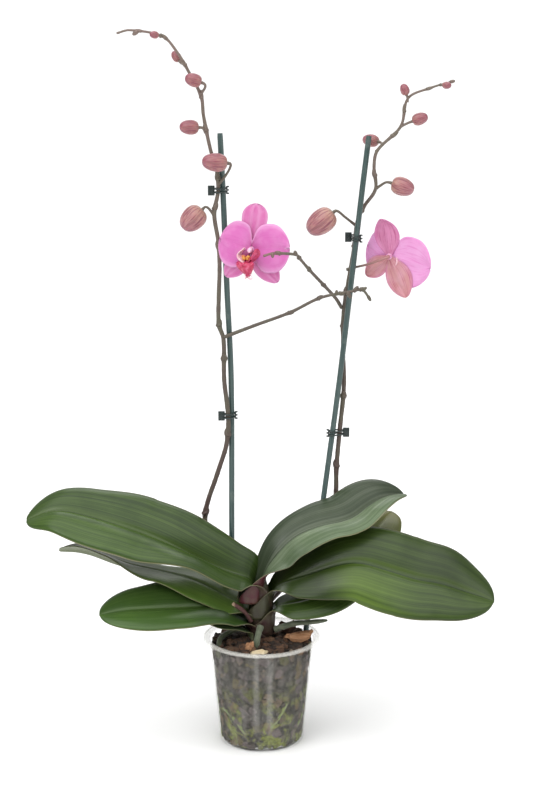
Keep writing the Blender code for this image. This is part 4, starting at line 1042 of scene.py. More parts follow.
# ---- The dry stub ----
# What is left of an earlier flower spike, cut off short: dark red-brown, shrunken, with a pale dry cut end.
stub_finish, tree, shader = finish_of("dry stub", Roughness=0.75)
place = object_place(tree)
wrinkles = grain(tree, place, 600, 4)
colour = ramp(tree, wrinkles, [(0.3, (0.034, 0.012, 0.012)), (0.7, (0.110, 0.042, 0.036))])
cut_end = within(tree, axis(tree, place, "X"), -0.0265, -0.0290)
feed(tree, shader, blend(tree, cut_end, colour, (0.42, 0.30, 0.20)))
raise_grain(tree, shader, wrinkles, 0.6, 0.0006)
stub_route = [(-0.0107, -0.0107, 0.131), (-0.018, -0.016, 0.143), (-0.029, -0.021, 0.153)]
stub_mesh = stems("dry_stub", [(stub_route, [(0.0, 0.0024), (0.45, 0.0019), (0.6, 0.0023), (1.0, 0.0018)])],
                  stub_finish, Knobbiness=0.10, Knob_size=350.0)
add_piece("dry_stub", stub_mesh, stub_finish, ["old_spike_stub"], "dry_spike")

# ---- The flower spikes ----
# Wiry grey-olive stalks with a swollen joint every few centimetres, each joint wrapped in a small dry scale.
# Side branches, bud stalks and the green-brown baby buds at the tips have grown from the same joints.
LEFT_SPIKE = [(-0.0095, 0.0110, 0.149), (-0.022, 0.018, 0.158), (-0.040, 0.028, 0.175),
              (-0.055, 0.040, 0.203),
              (-0.059, 0.044, 0.226), (-0.055, 0.041, 0.246), (-0.049, 0.038, 0.264), (-0.043, 0.034, 0.283),
              (-0.036, 0.031, 0.307), (-0.034, 0.030, 0.335), (-0.038, 0.030, 0.375), (-0.0385, 0.030, 0.417),
              (-0.0430, 0.030, 0.432), (-0.043, 0.030, 0.459), (-0.042, 0.030, 0.490), (-0.043, 0.030, 0.515),
              (-0.047, 0.030, 0.544), (-0.043, 0.030, 0.567), (-0.045, 0.030, 0.592), (-0.050, 0.030, 0.606),
              (-0.057, 0.030, 0.641), (-0.059, 0.030, 0.659), (-0.071, 0.030, 0.683), (-0.083, 0.030, 0.703),
              (-0.096, 0.030, 0.717), (-0.128, 0.030, 0.723), (-0.141, 0.030, 0.720)]
RIGHT_SPIKE = [(0.009, 0.011, 0.145), (0.030, 0.038, 0.160), (0.058, 0.058, 0.196), (0.076, 0.060, 0.236),
               (0.078, 0.058, 0.277), (0.081, 0.058, 0.315), (0.085, 0.061, 0.360), (0.084, 0.063, 0.399),
               (0.084, 0.064, 0.437), (0.089, 0.066, 0.472), (0.094, 0.069, 0.502), (0.0975, 0.071, 0.531),
               (0.104, 0.070, 0.546), (0.115, 0.061, 0.565), (0.113, 0.057, 0.588), (0.116, 0.056, 0.604),
               (0.139, 0.056, 0.628), (0.146, 0.056, 0.656), (0.168, 0.056, 0.666), (0.188, 0.056, 0.672)]
LEFT_BRANCH = [(-0.038, 0.029, 0.419), (-0.008, 0.027, 0.431), (0.029, 0.026, 0.445), (0.059, 0.025, 0.460),
               (0.089, 0.026, 0.466), (0.101, 0.026, 0.468), (0.107, 0.027, 0.461)]
RIGHT_BRANCH = [(0.082, 0.064, 0.443), (0.075, 0.055, 0.455), (0.049, 0.025, 0.487), (0.038, 0.008, 0.502),
                (0.034, 0.002, 0.507), (0.011, -0.004, 0.509), (0.002, -0.007, 0.507)]
# piece, CAD node, stalk whose last point is the bud's foot, the way the bud points, its length and its width
LEFT_BUDS = [
    ("bud_left_1", "left_bud_1", [(-0.047, 0.030, 0.542), (-0.053, 0.028, 0.550), (-0.058, 0.027, 0.549)],
     (-0.72, -0.10, -0.68), 0.0275, 0.0260),
    ("bud_left_2", "left_bud_2", [(-0.043, 0.030, 0.572), (-0.033, 0.024, 0.586), (-0.033, 0.017, 0.595)],
     (-0.98, -0.15, 0.10), 0.0250, 0.0200),
    ("bud_left_3", "left_bud_3", [(-0.055, 0.030, 0.624), (-0.061, 0.028, 0.629)], (-1.0, -0.1, 0.05),
     0.0190, 0.0160),
    ("bud_left_4", "left_bud_4", [(-0.060, 0.030, 0.661), (-0.055, 0.024, 0.668), (-0.058, 0.019, 0.673)],
     (-0.93, -0.15, 0.32), 0.0165, 0.0145),
    ("bud_left_5", "left_bud_5", [(-0.077, 0.030, 0.693), (-0.080, 0.036, 0.693)], (-0.5, 0.45, 0.65),
     0.0120, 0.0100),
    ("bud_left_6", "left_bud_6", [(-0.098, 0.030, 0.717), (-0.100, 0.026, 0.718)], (-0.75, -0.65, 0.15),
     0.0095, 0.0080)]
RIGHT_BUDS = [
    ("bud_right_1", "right_bud_1", [(0.0970, 0.0705, 0.526), (0.085, 0.063, 0.536), (0.073, 0.057, 0.542)],
     (-0.80, 0.0, -0.62), 0.0320, 0.0275),
    ("bud_right_2", "right_bud_2", [(0.115, 0.061, 0.565), (0.124, 0.055, 0.572), (0.130, 0.052, 0.572)],
     (0.95, -0.1, -0.30), 0.0235, 0.0205),
    ("bud_right_3", "right_bud_3", [(0.115, 0.057, 0.603), (0.121, 0.066, 0.609), (0.118, 0.075, 0.611)],
     (-0.75, 0.60, 0.1), 0.0180, 0.0140),
    ("bud_right_4", "right_bud_4", [(0.139, 0.056, 0.628), (0.150, 0.054, 0.633)], (0.95, -0.2, 0.35),
     0.0160, 0.0135),
    ("bud_right_5", "right_bud_5", [(0.145, 0.056, 0.652), (0.1445, 0.056, 0.6585)], (-0.35, 0.0, 0.95),
     0.0115, 0.0100),
    ("bud_right_6", "right_bud_6", [(0.178, 0.056, 0.669), (0.180, 0.052, 0.669)], (0.60, -0.75, 0.0),
     0.0100, 0.0080)]
FRONT_FLOWER = dict(centre=(-0.010, 0.018, 0.510), facing=(-0.15, -1.0, 0.05),
                    stalk=[(-0.043, 0.030, 0.500), (-0.036, 0.0275, 0.511), (-0.024, 0.030, 0.516)])
BACK_FLOWER = dict(centre=(0.130, 0.056, 0.4975), facing=(0.45, 0.88, 0.05),
                   stalk=[(0.087, 0.067, 0.482), (0.096, 0.0635, 0.485), (0.108, 0.057, 0.489)])


def bud_rings(foot, direction, length, width, around=28, along=18, seam=0.035):
    """A plump bud as rings: widest below its middle, a blunt nose, and three seams where the sepals meet."""
    heading = Vector(direction).normalized()
    turn = heading.to_track_quat("Z", "Y")
    rings = []
    for i in range(along + 1):
        share = i / along
        swell = max(math.sin(math.pi * share**0.90), 0.0) ** 0.80 * (1 - 0.10
                                                                     * share) if 0 < i < along else 0.03
        middle = Vector(foot) + heading * (length * (0.5 - 0.5 * math.cos(math.pi * share)))
        ring = []
        for j in range(around):
            angle = math.tau * j / around
            groove = 1 - seam * max(0.0, math.cos(3 * angle)) ** 6
            radius = width / 2 * swell * groove
            ring.append(middle + turn @ Vector((radius * math.cos(angle), radius * 0.96 * math.sin(angle),
                                                0)))
        rings.append(ring)
    return rings


def scale_rings(spot, heading, side, radius, length):
    """A dry scale that hugs a stalk at a joint: a short open cone, drawn out to a point on one side."""
    heading = heading.normalized()
    side = (side - heading * side.dot(heading)).normalized()
    cross = heading.cross(side)
    rings = []
    for i in range(7):
        share = i / 6
        ring = []
        for j in range(14):
            angle = math.tau * j / 14
            lean = 0.5 + 0.5 * math.cos(angle)
            reach = radius * (1.05 + 0.38 * math.sin(math.pi * min(share * 0.8 + 0.1, 1.0)) - 0.30 * share**3)
            lift = length * share * (0.35 + 0.65 * lean**1.5)
            out = side * math.cos(angle) + cross * math.sin(angle)
            ring.append(spot + heading * (lift - length * 0.2) + out * reach * (1 + 0.12 * lean * share))
        rings.append(ring)
    return rings


def heading_at(route, place):
    """Which way a route runs at a place."""
    return (point_along(route, min(place + 0.01, 1)) - point_along(route, max(place - 0.01, 0))).normalized()


def spike_mesh(name, spike, branch, buds, flower, joints, branch_joints, tips, finish):
    """A spike with its branch, stalks, joints, scales and baby buds."""
    widths = [(0.0, 0.0028), (0.25, 0.0025), (0.6, 0.0021), (0.85, 0.0016), (1.0, 0.0010)]
    knotted = []
    for place in [p / 200 for p in range(201)]:
        bump = sum(math.exp(-((place - joint) / 0.0055) ** 2) for joint in joints)
        knotted.append((place, ramp_of(widths, place) * (1 + 0.30 * min(bump, 1.0))))
    branch_widths = []
    for p in range(121):
        bump = sum(math.exp(-((p / 120 - joint) / 0.016) ** 2) for joint in branch_joints)
        branch_widths.append((p / 120, (0.0019 - 0.0006 * p / 120) * (1 + 0.35 * min(bump, 1.0))))
    facing = Vector(flower["facing"]).normalized()
    centre = Vector(flower["centre"])
    routes = [(spike, knotted), (branch, branch_widths)]
    for _, _, stalk, way, _, _ in buds:
        foot, way = Vector(stalk[-1]), Vector(way).normalized()
        routes.append((stalk[:-1] + [foot - way * 0.003, foot + way * 0.0015],
                       [(0.0, 0.0017), (0.3, 0.0013), (0.8, 0.0013), (1.0, 0.0019)]))
    flower_stalk = flower["stalk"] + [centre - facing * 0.0070, centre - facing * 0.0030]
    routes.append((flower_stalk, [(0.0, 0.0017), (0.25, 0.0012), (0.7, 0.0012), (0.9, 0.0015),
                                  (1.0, 0.0020)]))
    parts = [stems(name, routes, finish, Knobbiness=0.06, Knob_size=160.0)]
    for k, joint in enumerate(joints):
        radius = ramp_of(widths, joint)
        side = Vector((math.cos(2.4 * k), math.sin(2.4 * k) * 0.6, 0.1))
        rings = scale_rings(point_along(spike, joint), heading_at(spike, joint), side, radius * 1.12, 0.0085)
        parts.append(close_rings("scale", rings))
    for k, joint in enumerate(branch_joints):
        side = Vector((0.2, math.sin(2.1 * k) * 0.6, 1.0 if k % 2 else -1.0))
        rings = scale_rings(point_along(branch, joint), heading_at(branch, joint), side, 0.0018, 0.0060)
        parts.append(close_rings("scale", rings))
    for foot, way, length, width in tips:
        rings = bud_rings(Vector(foot) - Vector(way).normalized() * 0.0015, way, length, width, 14, 9, 0.05)
        parts.append(close_rings("baby bud", rings))
    return joined(name, parts)


spike_finish, tree, shader = finish_of("spike skin", Roughness=0.50, Coat_Weight=0.05)
place = object_place(tree)
freckles = grain(tree, place, 520, 4, 0.6)
bands = grain(tree, place, 42, 2)
colour = ramp(tree, within(tree, axis(tree, place, "Z"), 0.15, 0.72),
              [(0.0, (0.050, 0.024, 0.022)), (0.22, (0.070, 0.043, 0.034)),
(0.5, (0.088, 0.070, 0.053)), (0.8, (0.150, 0.112, 0.092)),
(1.0, (0.190, 0.135, 0.115))])
colour = blend(tree, within(tree, bands, 0.45, 0.65, 0.0, 0.5), colour, (0.098, 0.102, 0.060))
colour = blend(tree, within(tree, freckles, 0.55, 0.72, 0.0, 0.7), colour, (0.050, 0.028, 0.025))
for flower in (FRONT_FLOWER, BACK_FLOWER):
    away = put(tree, "ShaderNodeVectorMath", {0: place, 1: flower["centre"]}, operation="DISTANCE")
    colour = blend(tree, within(tree, away.outputs["Value"], 0.040, 0.008, 0.0, 0.9), colour,
                   (0.420, 0.190, 0.190))
feed(tree, shader, colour)
raise_grain(tree, shader, freckles, 0.3, 0.0004)

left_tips = [((-0.121, 0.030, 0.7215), (-0.7, 0.0, -0.5), 0.007, 0.005),
             ((0.0860, 0.0255, 0.4655), (0.55, -0.2, -0.80), 0.0085, 0.0050),
             ((0.0930, 0.0260, 0.4665), (0.60, 0.1, 0.75), 0.0080, 0.0048),
             ((0.1010, 0.0260, 0.4675), (0.80, -0.1, 0.55), 0.0070, 0.0042),
             ((-0.139, 0.030, 0.7205), (-0.95, 0.0, -0.3), 0.0035, 0.0028),
             ((0.075, 0.025, 0.4635), (0.1, 0.0, 1.0), 0.006, 0.004),
             ((0.107, 0.027, 0.461), (0.5, 0.0, -0.85), 0.007, 0.004)]
right_tips = [((0.188, 0.056, 0.672), (1.0, 0.0, 0.2), 0.006, 0.004),
              ((0.034, 0.002, 0.507), (-0.3, -0.2, 0.9), 0.006, 0.0045),
              ((0.011, -0.004, 0.509), (0.0, -0.3, -1.0), 0.006, 0.004)]
left_mesh = spike_mesh("spike_left", LEFT_SPIKE, LEFT_BRANCH, LEFT_BUDS, FRONT_FLOWER,
                       (0.16, 0.30, 0.42, 0.475, 0.595, 0.655, 0.70, 0.775, 0.825, 0.878, 0.925, 0.965),
                       (0.45, 0.66, 0.80, 0.93), left_tips, spike_finish)
add_piece("spike_left", left_mesh, spike_finish, ["left_spike"], "spike_skin")
right_mesh = spike_mesh("spike_right", RIGHT_SPIKE, RIGHT_BRANCH, RIGHT_BUDS, BACK_FLOWER,
                        (0.14, 0.28, 0.40, 0.52, 0.575, 0.655, 0.715, 0.785, 0.86, 0.905, 0.962),
                        (0.30, 0.52, 0.70, 0.88), right_tips, spike_finish)
add_piece("spike_right", right_mesh, spike_finish, ["right_spike"], "spike_skin")

# ---- The buds ----
# Closed flowers, twelve of them, smaller towards the tips: dusty rose with darker veins running from foot to
# nose, buff-green at the foot and along the three seams where the outer sepals meet.
bud_finish, tree, shader = finish_of("bud skin", Roughness=0.42, Subsurface_Weight=0.10,
                                     Subsurface_Scale=0.003,
                                     Sheen_Weight=0.10)
skin = put(tree, "ShaderNodeUVMap", uv_map="skin").outputs[0]
place = object_place(tree)
veins = grain(tree, stretched(tree, skin, (34, 1.6, 1)), 1.0, 3, 0.6)
blush = grain(tree, place, 130, 3)
colour = ramp(tree, axis(tree, skin, "Y"), [(0.0, (0.250, 0.170, 0.110)), (0.16, (0.400, 0.220, 0.165)),
                                         (0.45, (0.410, 0.185, 0.185)), (0.80, (0.350, 0.125, 0.160)),
                                         (1.0, (0.260, 0.085, 0.120))])
colour = blend(tree, within(tree, blush, 0.42, 0.70, 0.0, 0.5), colour, (0.500, 0.290, 0.235))
young = within(tree, axis(tree, place, "Z"), 0.545, 0.620, 0.0, 0.55)
colour = blend(tree, young, colour, (0.235, 0.058, 0.076))
colour = blend(tree, within(tree, veins, 0.50, 0.57, 0.0, 0.80), colour, (0.180, 0.032, 0.060))
seams = figure(tree, "COSINE", figure(tree, "MULTIPLY", axis(tree, skin, "X"), 3 * math.tau))
feed(tree, shader, blend(tree, within(tree, seams, 0.93, 1.0, 0.0, 0.75), colour, (0.260, 0.110, 0.110)))
raise_grain(tree, shader, veins, 0.18, 0.0006)
for name, node, stalk, way, length, width in LEFT_BUDS + RIGHT_BUDS:
    start = Vector(stalk[-1]) + Vector(way).normalized() * 0.0006
    add_piece(name, close_rings(name, bud_rings(start, way, length, width)), bud_finish, [node], "bud_rose")

# ---- The open flowers ----
# Two moth-shaped flowers, one seen from the front and one from behind. Behind stand three narrow sepals, in
# front of them two broad rounded petals on narrow claws. Each is a thin, slightly waved, translucent blade.
PETAL_OUTLINE = [(0.0, 0.30), (0.05, 0.46), (0.12, 0.70), (0.22, 0.90), (0.35, 0.99), (0.48, 1.0),
                 (0.62, 0.97),
                 (0.75, 0.86), (0.86, 0.67), (0.94, 0.45), (0.98, 0.27), (1.0, 0.06)]
SEPAL_OUTLINE = [(0.0, 0.24), (0.12, 0.48), (0.28, 0.82), (0.45, 0.99), (0.58, 1.0), (0.72, 0.89),
                 (0.84, 0.68),
                 (0.93, 0.43), (0.98, 0.24), (1.0, 0.05)]
DORSAL_OUTLINE = [(0.0, 0.48), (0.15, 0.56), (0.35, 0.74), (0.55, 0.94), (0.68, 1.0), (0.80, 0.95),
                  (0.90, 0.76),
                  (0.96, 0.50), (0.99, 0.25), (1.0, 0.08)]


def smooth_ramp(stops, place):
    """A value read between stops on a smooth curve."""
    points = [Vector((x, y, 0)) for x, y in stops]
    i = next((i for i in range(len(points) - 1) if place <= points[i + 1].x), len(points) - 2)
    before, after = points[max(i - 1, 0)], points[min(i + 2, len(points) - 1)]
    start, end = points[i], points[i + 1]
    t = (place - start.x) / (end.x - start.x)
    run = end.x - start.x
    first = (end.y - before.y) / (end.x - before.x) * run
    last = (after.y - start.y) / (after.x - start.x) * run
    return (start.y * (2 * t**3 - 3 * t**2 + 1) + first * (t**3 - 2 * t**2 + t)
            + end.y * (3 * t**2 - 2 * t**3) + last * (t**3 - t**2))


def flower_axes(flower):
    """A flower's centre, and its right, up and facing directions."""
    facing = Vector(flower["facing"]).normalized()
    right = Vector((0, 0, 1)).cross(facing).normalized()
    return Vector(flower["centre"]), right, facing.cross(right), facing


def blade_skin(name, flower, blade):
    """A petal or sepal as rings of points, front side across and back side back."""
    centre, right, up, facing = flower_axes(flower)
    angle = math.radians(blade["angle"])
    outward = right * math.cos(angle) + up * math.sin(angle)
    aside = facing.cross(outward)
    stations, across = 34, 27
    rings = []
    for i in range(stations):
        place = 0.5 - 0.5 * math.cos(math.pi * i / (stations - 1))
        width = blade["half_width"] * max(smooth_ramp(blade["outline"], place), 0.02)
        row = []
        for j in range(across):
            share = -1 + 2 * j / (across - 1)
            shorter = 1 - blade["notch"] * math.exp(-((share - blade["notch_at"]) / 0.16) ** 2) * place**4
            reach = 0.0010 + (blade["length"] + 0.0030) * place * shorter
            lean = 1 + blade["lean"] * share * place
            edge = max(abs(share), place) ** 3
            ruffle = blade["ruffle"] * edge * math.sin(blade["waves"] * (share * 2.2 + place * 1.7)
                                                       + blade["angle"])
            lift = (blade["lift"] + blade["bend"] * blade["length"] * place**2 - blade["cup"] * width * share
                    * share
                    - 0.0007 * math.exp(-(share / 0.09) ** 2) * math.sin(math.pi * place) + ruffle
                    - blade["curl"] * max(place - 0.72, 0.0) ** 2)
            middle = centre + outward * reach * lean + aside * width * share + facing * lift
            row.append(middle)
        rings.append(row)
    shells = []
    for i, row in enumerate(rings):
        ring_front, ring_back = [], []
        for j, middle in enumerate(row):
            ahead, behind = rings[min(i + 1, stations - 1)][j], rings[max(i - 1, 0)][j]
            left, after = row[max(j - 1, 0)], row[min(j + 1, across - 1)]
            normal = (after - left).cross(ahead - behind)
            normal = facing if normal.length < 1e-12 else normal.normalized()
            normal *= 1 if normal.dot(facing) > 0 else -1
            half = 0.00022 + 0.00026 * (1 - max(abs(-1 + 2 * j / (across - 1)), i / (stations - 1)) ** 2)
            ring_front.append(middle + normal * half)
            ring_back.append(middle - normal * half)
        shells.append(ring_front + ring_back[::-1])
    mesh = close_rings(name, shells, sides_open=True)
    back = mesh.attributes.new("back", "FLOAT", "POINT")
    flags = [0.0 if j < across else 1.0 for _ in range(stations) for j in range(2 * across)] + [0.5, 0.5]
    back.data.foreach_set("value", flags)
    return mesh


def blade_finish(name, claw, ground, rim, vein, back_ground, back_vein, seed, streaks=0.0):
    """Petal skin: a deeper claw, a clear middle, a pale rim, fine veins that fan out, and a duller back."""
    made, tree, shader = finish_of(name, Roughness=0.46, Sheen_Weight=0.18, Sheen_Roughness=0.4)
    skin = put(tree, "ShaderNodeUVMap", uv_map="skin").outputs[0]
    veins = grain(tree, stretched(tree, skin, (38, 2.6, 1), seed), 1.0, 2, 0.5, 0.3)
    cloud = grain(tree, object_place(tree), 90, 2)
    colour = ramp(tree, axis(tree, skin, "Y"), [(0.0, claw), (0.30, ground), (0.80, ground), (1.0, rim)])
    from_mid = figure(tree, "ABSOLUTE", figure(tree, "SUBTRACT", axis(tree, skin, "X"), 0.5))
    colour = blend(tree, within(tree, from_mid, 0.38, 0.50, 0.0, 0.8), colour, rim)
    colour = blend(tree, within(tree, cloud, 0.40, 0.70, 0.0, 0.30), colour, rim)
    if streaks:
        beside = figure(tree, "MULTIPLY", within(tree, from_mid, 0.05, 0.13),
                        within(tree, from_mid, 0.26, 0.16))
        colour = blend(tree, figure(tree, "MULTIPLY", beside, streaks), colour, rim)
    colour = blend(tree, within(tree, veins, 0.52, 0.72, 0.0, 0.32), colour, vein)
    rear = blend(tree, within(tree, veins, 0.50, 0.64, 0.0, 0.80), back_ground, back_vein)
    rear = blend(tree, within(tree, from_mid, 0.34, 0.50, 0.0, 0.60), rear, ground)
    rear = blend(tree, within(tree, cloud, 0.45, 0.75, 0.0, 0.4), rear, rim)
    back = put(tree, "ShaderNodeAttribute", attribute_name="back").outputs["Fac"]
    colour = blend(tree, within(tree, back, 0.4, 0.6), colour, rear)
    feed(tree, shader, colour)
    raise_grain(tree, shader, veins, 0.12, 0.0005)
    glow = put(tree, "ShaderNodeBsdfTranslucent", {"Color": colour})
    mixed = put(tree, "ShaderNodeMixShader", {"Fac": 0.22, 1: shader.outputs[0], 2: glow.outputs[0]})
    tree.links.new(mixed.outputs[0], tree.nodes["Material Output"].inputs["Surface"])
    return made


front_petal = blade_finish("front petal", (0.46, 0.030, 0.22), (0.72, 0.175, 0.52), (0.86, 0.45, 0.74),
                           (0.60, 0.10, 0.40), (0.72, 0.36, 0.60), (0.62, 0.20, 0.45), 1.0)
front_sepal = blade_finish("front sepal", (0.44, 0.040, 0.20), (0.68, 0.16, 0.44), (0.80, 0.40, 0.66),
                           (0.50, 0.08, 0.28), (0.60, 0.34, 0.36), (0.52, 0.16, 0.27), 7.0, 0.35)
back_petal = blade_finish("back petal", (0.66, 0.16, 0.44), (0.78, 0.27, 0.60), (0.90, 0.55, 0.82),
                          (0.64, 0.15, 0.46), (0.84, 0.40, 0.72), (0.76, 0.26, 0.60), 13.0)
back_sepal = blade_finish("back sepal", (0.60, 0.15, 0.32), (0.70, 0.24, 0.46), (0.82, 0.48, 0.62),
                          (0.55, 0.12, 0.32), (0.66, 0.32, 0.33), (0.45, 0.065, 0.15), 19.0, 0.5)
back_dorsal = blade_finish("back dorsal sepal", (0.60, 0.15, 0.32), (0.72, 0.22, 0.50), (0.84, 0.42, 0.68),
                           (0.55, 0.12, 0.32), (0.68, 0.24, 0.44), (0.46, 0.080, 0.22), 23.0, 0.5)
plain_blade = dict(notch=0.0, notch_at=0.0, lean=0.0, ruffle=0.0008, waves=2.4, cup=0.06, curl=0.0)
FRONT_BLADES = [
    dict(plain_blade, name="dorsal_sepal", angle=85, length=0.041, half_width=0.0132, lift=-0.0012,
         bend=-0.15,
         outline=DORSAL_OUTLINE, cup=-0.10, curl=0.015),
    dict(plain_blade, name="left_sepal", angle=226, length=0.035, half_width=0.0110, lift=-0.0012, bend=-0.15,
         outline=SEPAL_OUTLINE, cup=-0.10),
    dict(plain_blade, name="right_sepal", angle=308, length=0.038, half_width=0.0115, lift=-0.0012,
         bend=-0.15,
         outline=SEPAL_OUTLINE, cup=-0.08),
    dict(plain_blade, name="left_petal", angle=163, length=0.030, half_width=0.0235, lift=0.0012, bend=-0.16,
         outline=PETAL_OUTLINE, ruffle=0.0012),
    dict(plain_blade, name="right_petal", angle=3, length=0.0345, half_width=0.0245, lift=0.0012, bend=-0.05,
         outline=PETAL_OUTLINE, ruffle=0.0012, notch=0.13, notch_at=-0.02)]
BACK_BLADES = [
    dict(plain_blade, name="dorsal_sepal", angle=84, length=0.036, half_width=0.0135, lift=-0.0012,
         bend=-0.15,
         outline=SEPAL_OUTLINE, cup=-0.12, curl=0.06),
    dict(plain_blade, name="left_sepal", angle=243, length=0.041, half_width=0.0140, lift=-0.0012, bend=-0.10,
         outline=SEPAL_OUTLINE, cup=-0.08),
    dict(plain_blade, name="right_sepal", angle=321, length=0.031, half_width=0.0105, lift=-0.0012, bend=0.10,
         outline=SEPAL_OUTLINE, cup=-0.08),
    dict(plain_blade, name="left_petal", angle=193, length=0.042, half_width=0.0260, lift=0.0012, bend=-0.05,
         outline=PETAL_OUTLINE, ruffle=0.0012, notch=0.08, notch_at=0.10),
    dict(plain_blade, name="right_petal", angle=18, length=0.026, half_width=0.0220, lift=0.0012, bend=0.35,
         outline=PETAL_OUTLINE, ruffle=0.0010)]
BLADE_FINISHES = {"front": dict(dorsal_sepal=front_sepal, sepal=front_sepal, petal=front_petal),
                  "back": dict(dorsal_sepal=back_dorsal, sepal=back_sepal, petal=back_petal)}
for prefix, flower, blades in (("front", FRONT_FLOWER, FRONT_BLADES), ("back", BACK_FLOWER, BACK_BLADES)):
    for blade in blades:
        name = f"{prefix}_{blade['name']}_blade"
        kind = blade["name"].split("_")[-1]
        finishes = BLADE_FINISHES[prefix]
        finish = finishes.get(blade["name"], finishes[kind])
        slot = "sepal_rose" if kind == "sepal" else "petal_pink"
        add_piece(name, blade_skin(name, flower, blade), finish, [f"{prefix}_flower_{blade['name']}"], slot)

# ---- The lips ----
# The third petal of each flower, folded into a landing stage: two side lobes that curl up beside the column,
# a speckled yellow callus between them, and a crimson arrow-shaped middle lobe that ends in two pale
# tendrils.
LIP_TURN = -24.0
lip_finish, tree, shader = finish_of("lip skin", Roughness=0.34, Subsurface_Weight=0.10,
                                     Subsurface_Scale=0.002)
place = object_place(tree)
blotch = grain(tree, place, 330, 4, 0.6)
stain = grain(tree, place, 900, 2)
colour = ramp(tree, blotch, [(0.30, (0.34, 0.012, 0.055)), (0.50, (0.52, 0.035, 0.110)),
                             (0.72, (0.70, 0.16, 0.28))])
colour = blend(tree, within(tree, stain, 0.55, 0.70, 0.0, 0.6), colour, (0.34, 0.01, 0.05))
callus = put(tree, "ShaderNodeAttribute", attribute_name="callus").outputs["Fac"]
pale = put(tree, "ShaderNodeAttribute", attribute_name="pale").outputs["Fac"]
spots = blend(tree, within(tree, stain, 0.50, 0.60), (0.74, 0.38, 0.07), (0.50, 0.05, 0.04))
colour = blend(tree, callus, colour, spots)
feed(tree, shader, blend(tree, pale, colour, (0.88, 0.62, 0.68)))
raise_grain(tree, shader, blotch, 0.2, 0.0005)


def lobe(name, rows, thickness, callus_share, pale_share):
    """A thin closed lobe over rows of points, with the shares of yellow and of pale pink that it shows."""
    count, across = len(rows), len(rows[0])
    shells = []
    for i, row in enumerate(rows):
        front, back = [], []
        for j, middle in enumerate(row):
            ahead, behind = rows[min(i + 1, count - 1)][j], rows[max(i - 1, 0)][j]
            normal = (row[min(j + 1, across - 1)] - row[max(j - 1, 0)]).cross(ahead - behind)
            normal = normal.normalized() if normal.length > 1e-12 else Vector((0, 0, 1))
            front.append(middle + normal * thickness / 2)
            back.append(middle - normal * thickness / 2)
        shells.append(front + back[::-1])
    return shares_on(close_rings(name, shells, sides_open=True), callus_share, pale_share)


def shares_on(mesh, callus_share, pale_share):
    """The mesh with its shares of callus yellow and of pale pink written on every point."""
    for label, share in (("callus", callus_share), ("pale", pale_share)):
        layer = mesh.attributes.new(label, "FLOAT", "POINT")
        layer.data.foreach_set("value", [share] * len(mesh.vertices))
    return mesh


def side_lobe(at, side, flare, curl_in):
    """An ear that stands beside the column: it rises from the lip's base and flares out, or curls back in."""
    rows = []
    for i in range(15):
        rise = i / 14
        half = 0.0062 * math.sin(math.pi * (0.16 + 0.76 * rise)) ** 0.6
        row = []
        for j in range(11):
            along = -1 + j / 5
            out = 0.0022 + flare * math.sin(rise * 1.5) * (1 - 0.10 * along) + curl_in * math.sin(math.pi
                                                                                                  * rise)
            row.append(at(side * out, 0.0072 + along * half,
                          -0.0118 + 0.0135 * rise - 0.0012 * along * along))
        rows.append(row)
    return rows


def lip_skin(name, flower):
    """A whole lip: the middle lobe, two side lobes, two callus knobs and two tendrils."""
    centre, right, up, facing = flower_axes(flower)
    turn = math.radians(LIP_TURN)
    ahead = facing * math.cos(turn) + right * math.sin(turn)
    beside = right * math.cos(turn) - facing * math.sin(turn)

    def at(sideways, forward, above):
        return centre + beside * sideways + ahead * forward + up * above

    # forward, down and half width along the middle lobe
    spine = [(0.0045, 0.0095, 0.0030), (0.0080, 0.0118, 0.0040), (0.0115, 0.0128, 0.0078),
             (0.0138, 0.0148, 0.0102),
             (0.0138, 0.0178, 0.0098), (0.0120, 0.0210, 0.0076), (0.0095, 0.0238, 0.0048),
             (0.0075, 0.0262, 0.0026),
             (0.0066, 0.0278, 0.0010)]
    rows = []
    for i in range(27):
        forward, down, width = point_along(spine, i / 26)
        row = []
        for j in range(15):
            share = -1 + j / 7
            row.append(at(share * width, forward - 0.0022 * share * share + 0.0005 * math.cos(share * 9),
                          -down + 0.0016 * share * share))
        rows.append(row)
    parts = [lobe("middle lobe", rows, 0.0011, 0.0, 0.0),
             lobe("left lobe", side_lobe(at, -1, 0.0015, 0.0052), 0.0010, 0.0, 0.80),
             lobe("right lobe", side_lobe(at, 1, 0.0088, 0.0010), 0.0010, 0.0, 0.0)]
    for side in (-1, 1):
        foot = at(side * 0.0019, 0.0078, -0.0098)
        way = ahead * 0.55 + up * 0.75 + beside * side * 0.25
        parts.append(shares_on(close_rings("callus", bud_rings(foot, way, 0.0058, 0.0050, 14, 9, 0.0)), 1.0,
                               0.0))
        curl = [at(side * 0.0008, 0.0068, -0.0270), at(side * 0.0024, 0.0072, -0.0288),
                at(0.0030 + side * 0.0034, 0.0090, -0.0282), at(0.0036 + side * 0.0042, 0.0108, -0.0256),
                at(0.0030 + side * 0.0030, 0.0112, -0.0236)]
        mesh = stems("tendril", [(curl, [(0.0, 0.0009), (0.7, 0.0006), (1.0, 0.0003)])], lip_finish,
                     Spacing=0.0008, Sides=8, Knobbiness=0.0)
        parts.append(shares_on(mesh, 0.0, 0.95))
    return joined(name, parts)


for prefix, flower in (("front", FRONT_FLOWER), ("back", BACK_FLOWER)):
    name = f"{prefix}_lip"
    add_piece(name, lip_skin(name, flower), lip_finish, [f"{prefix}_flower_lip"], "lip_crimson")

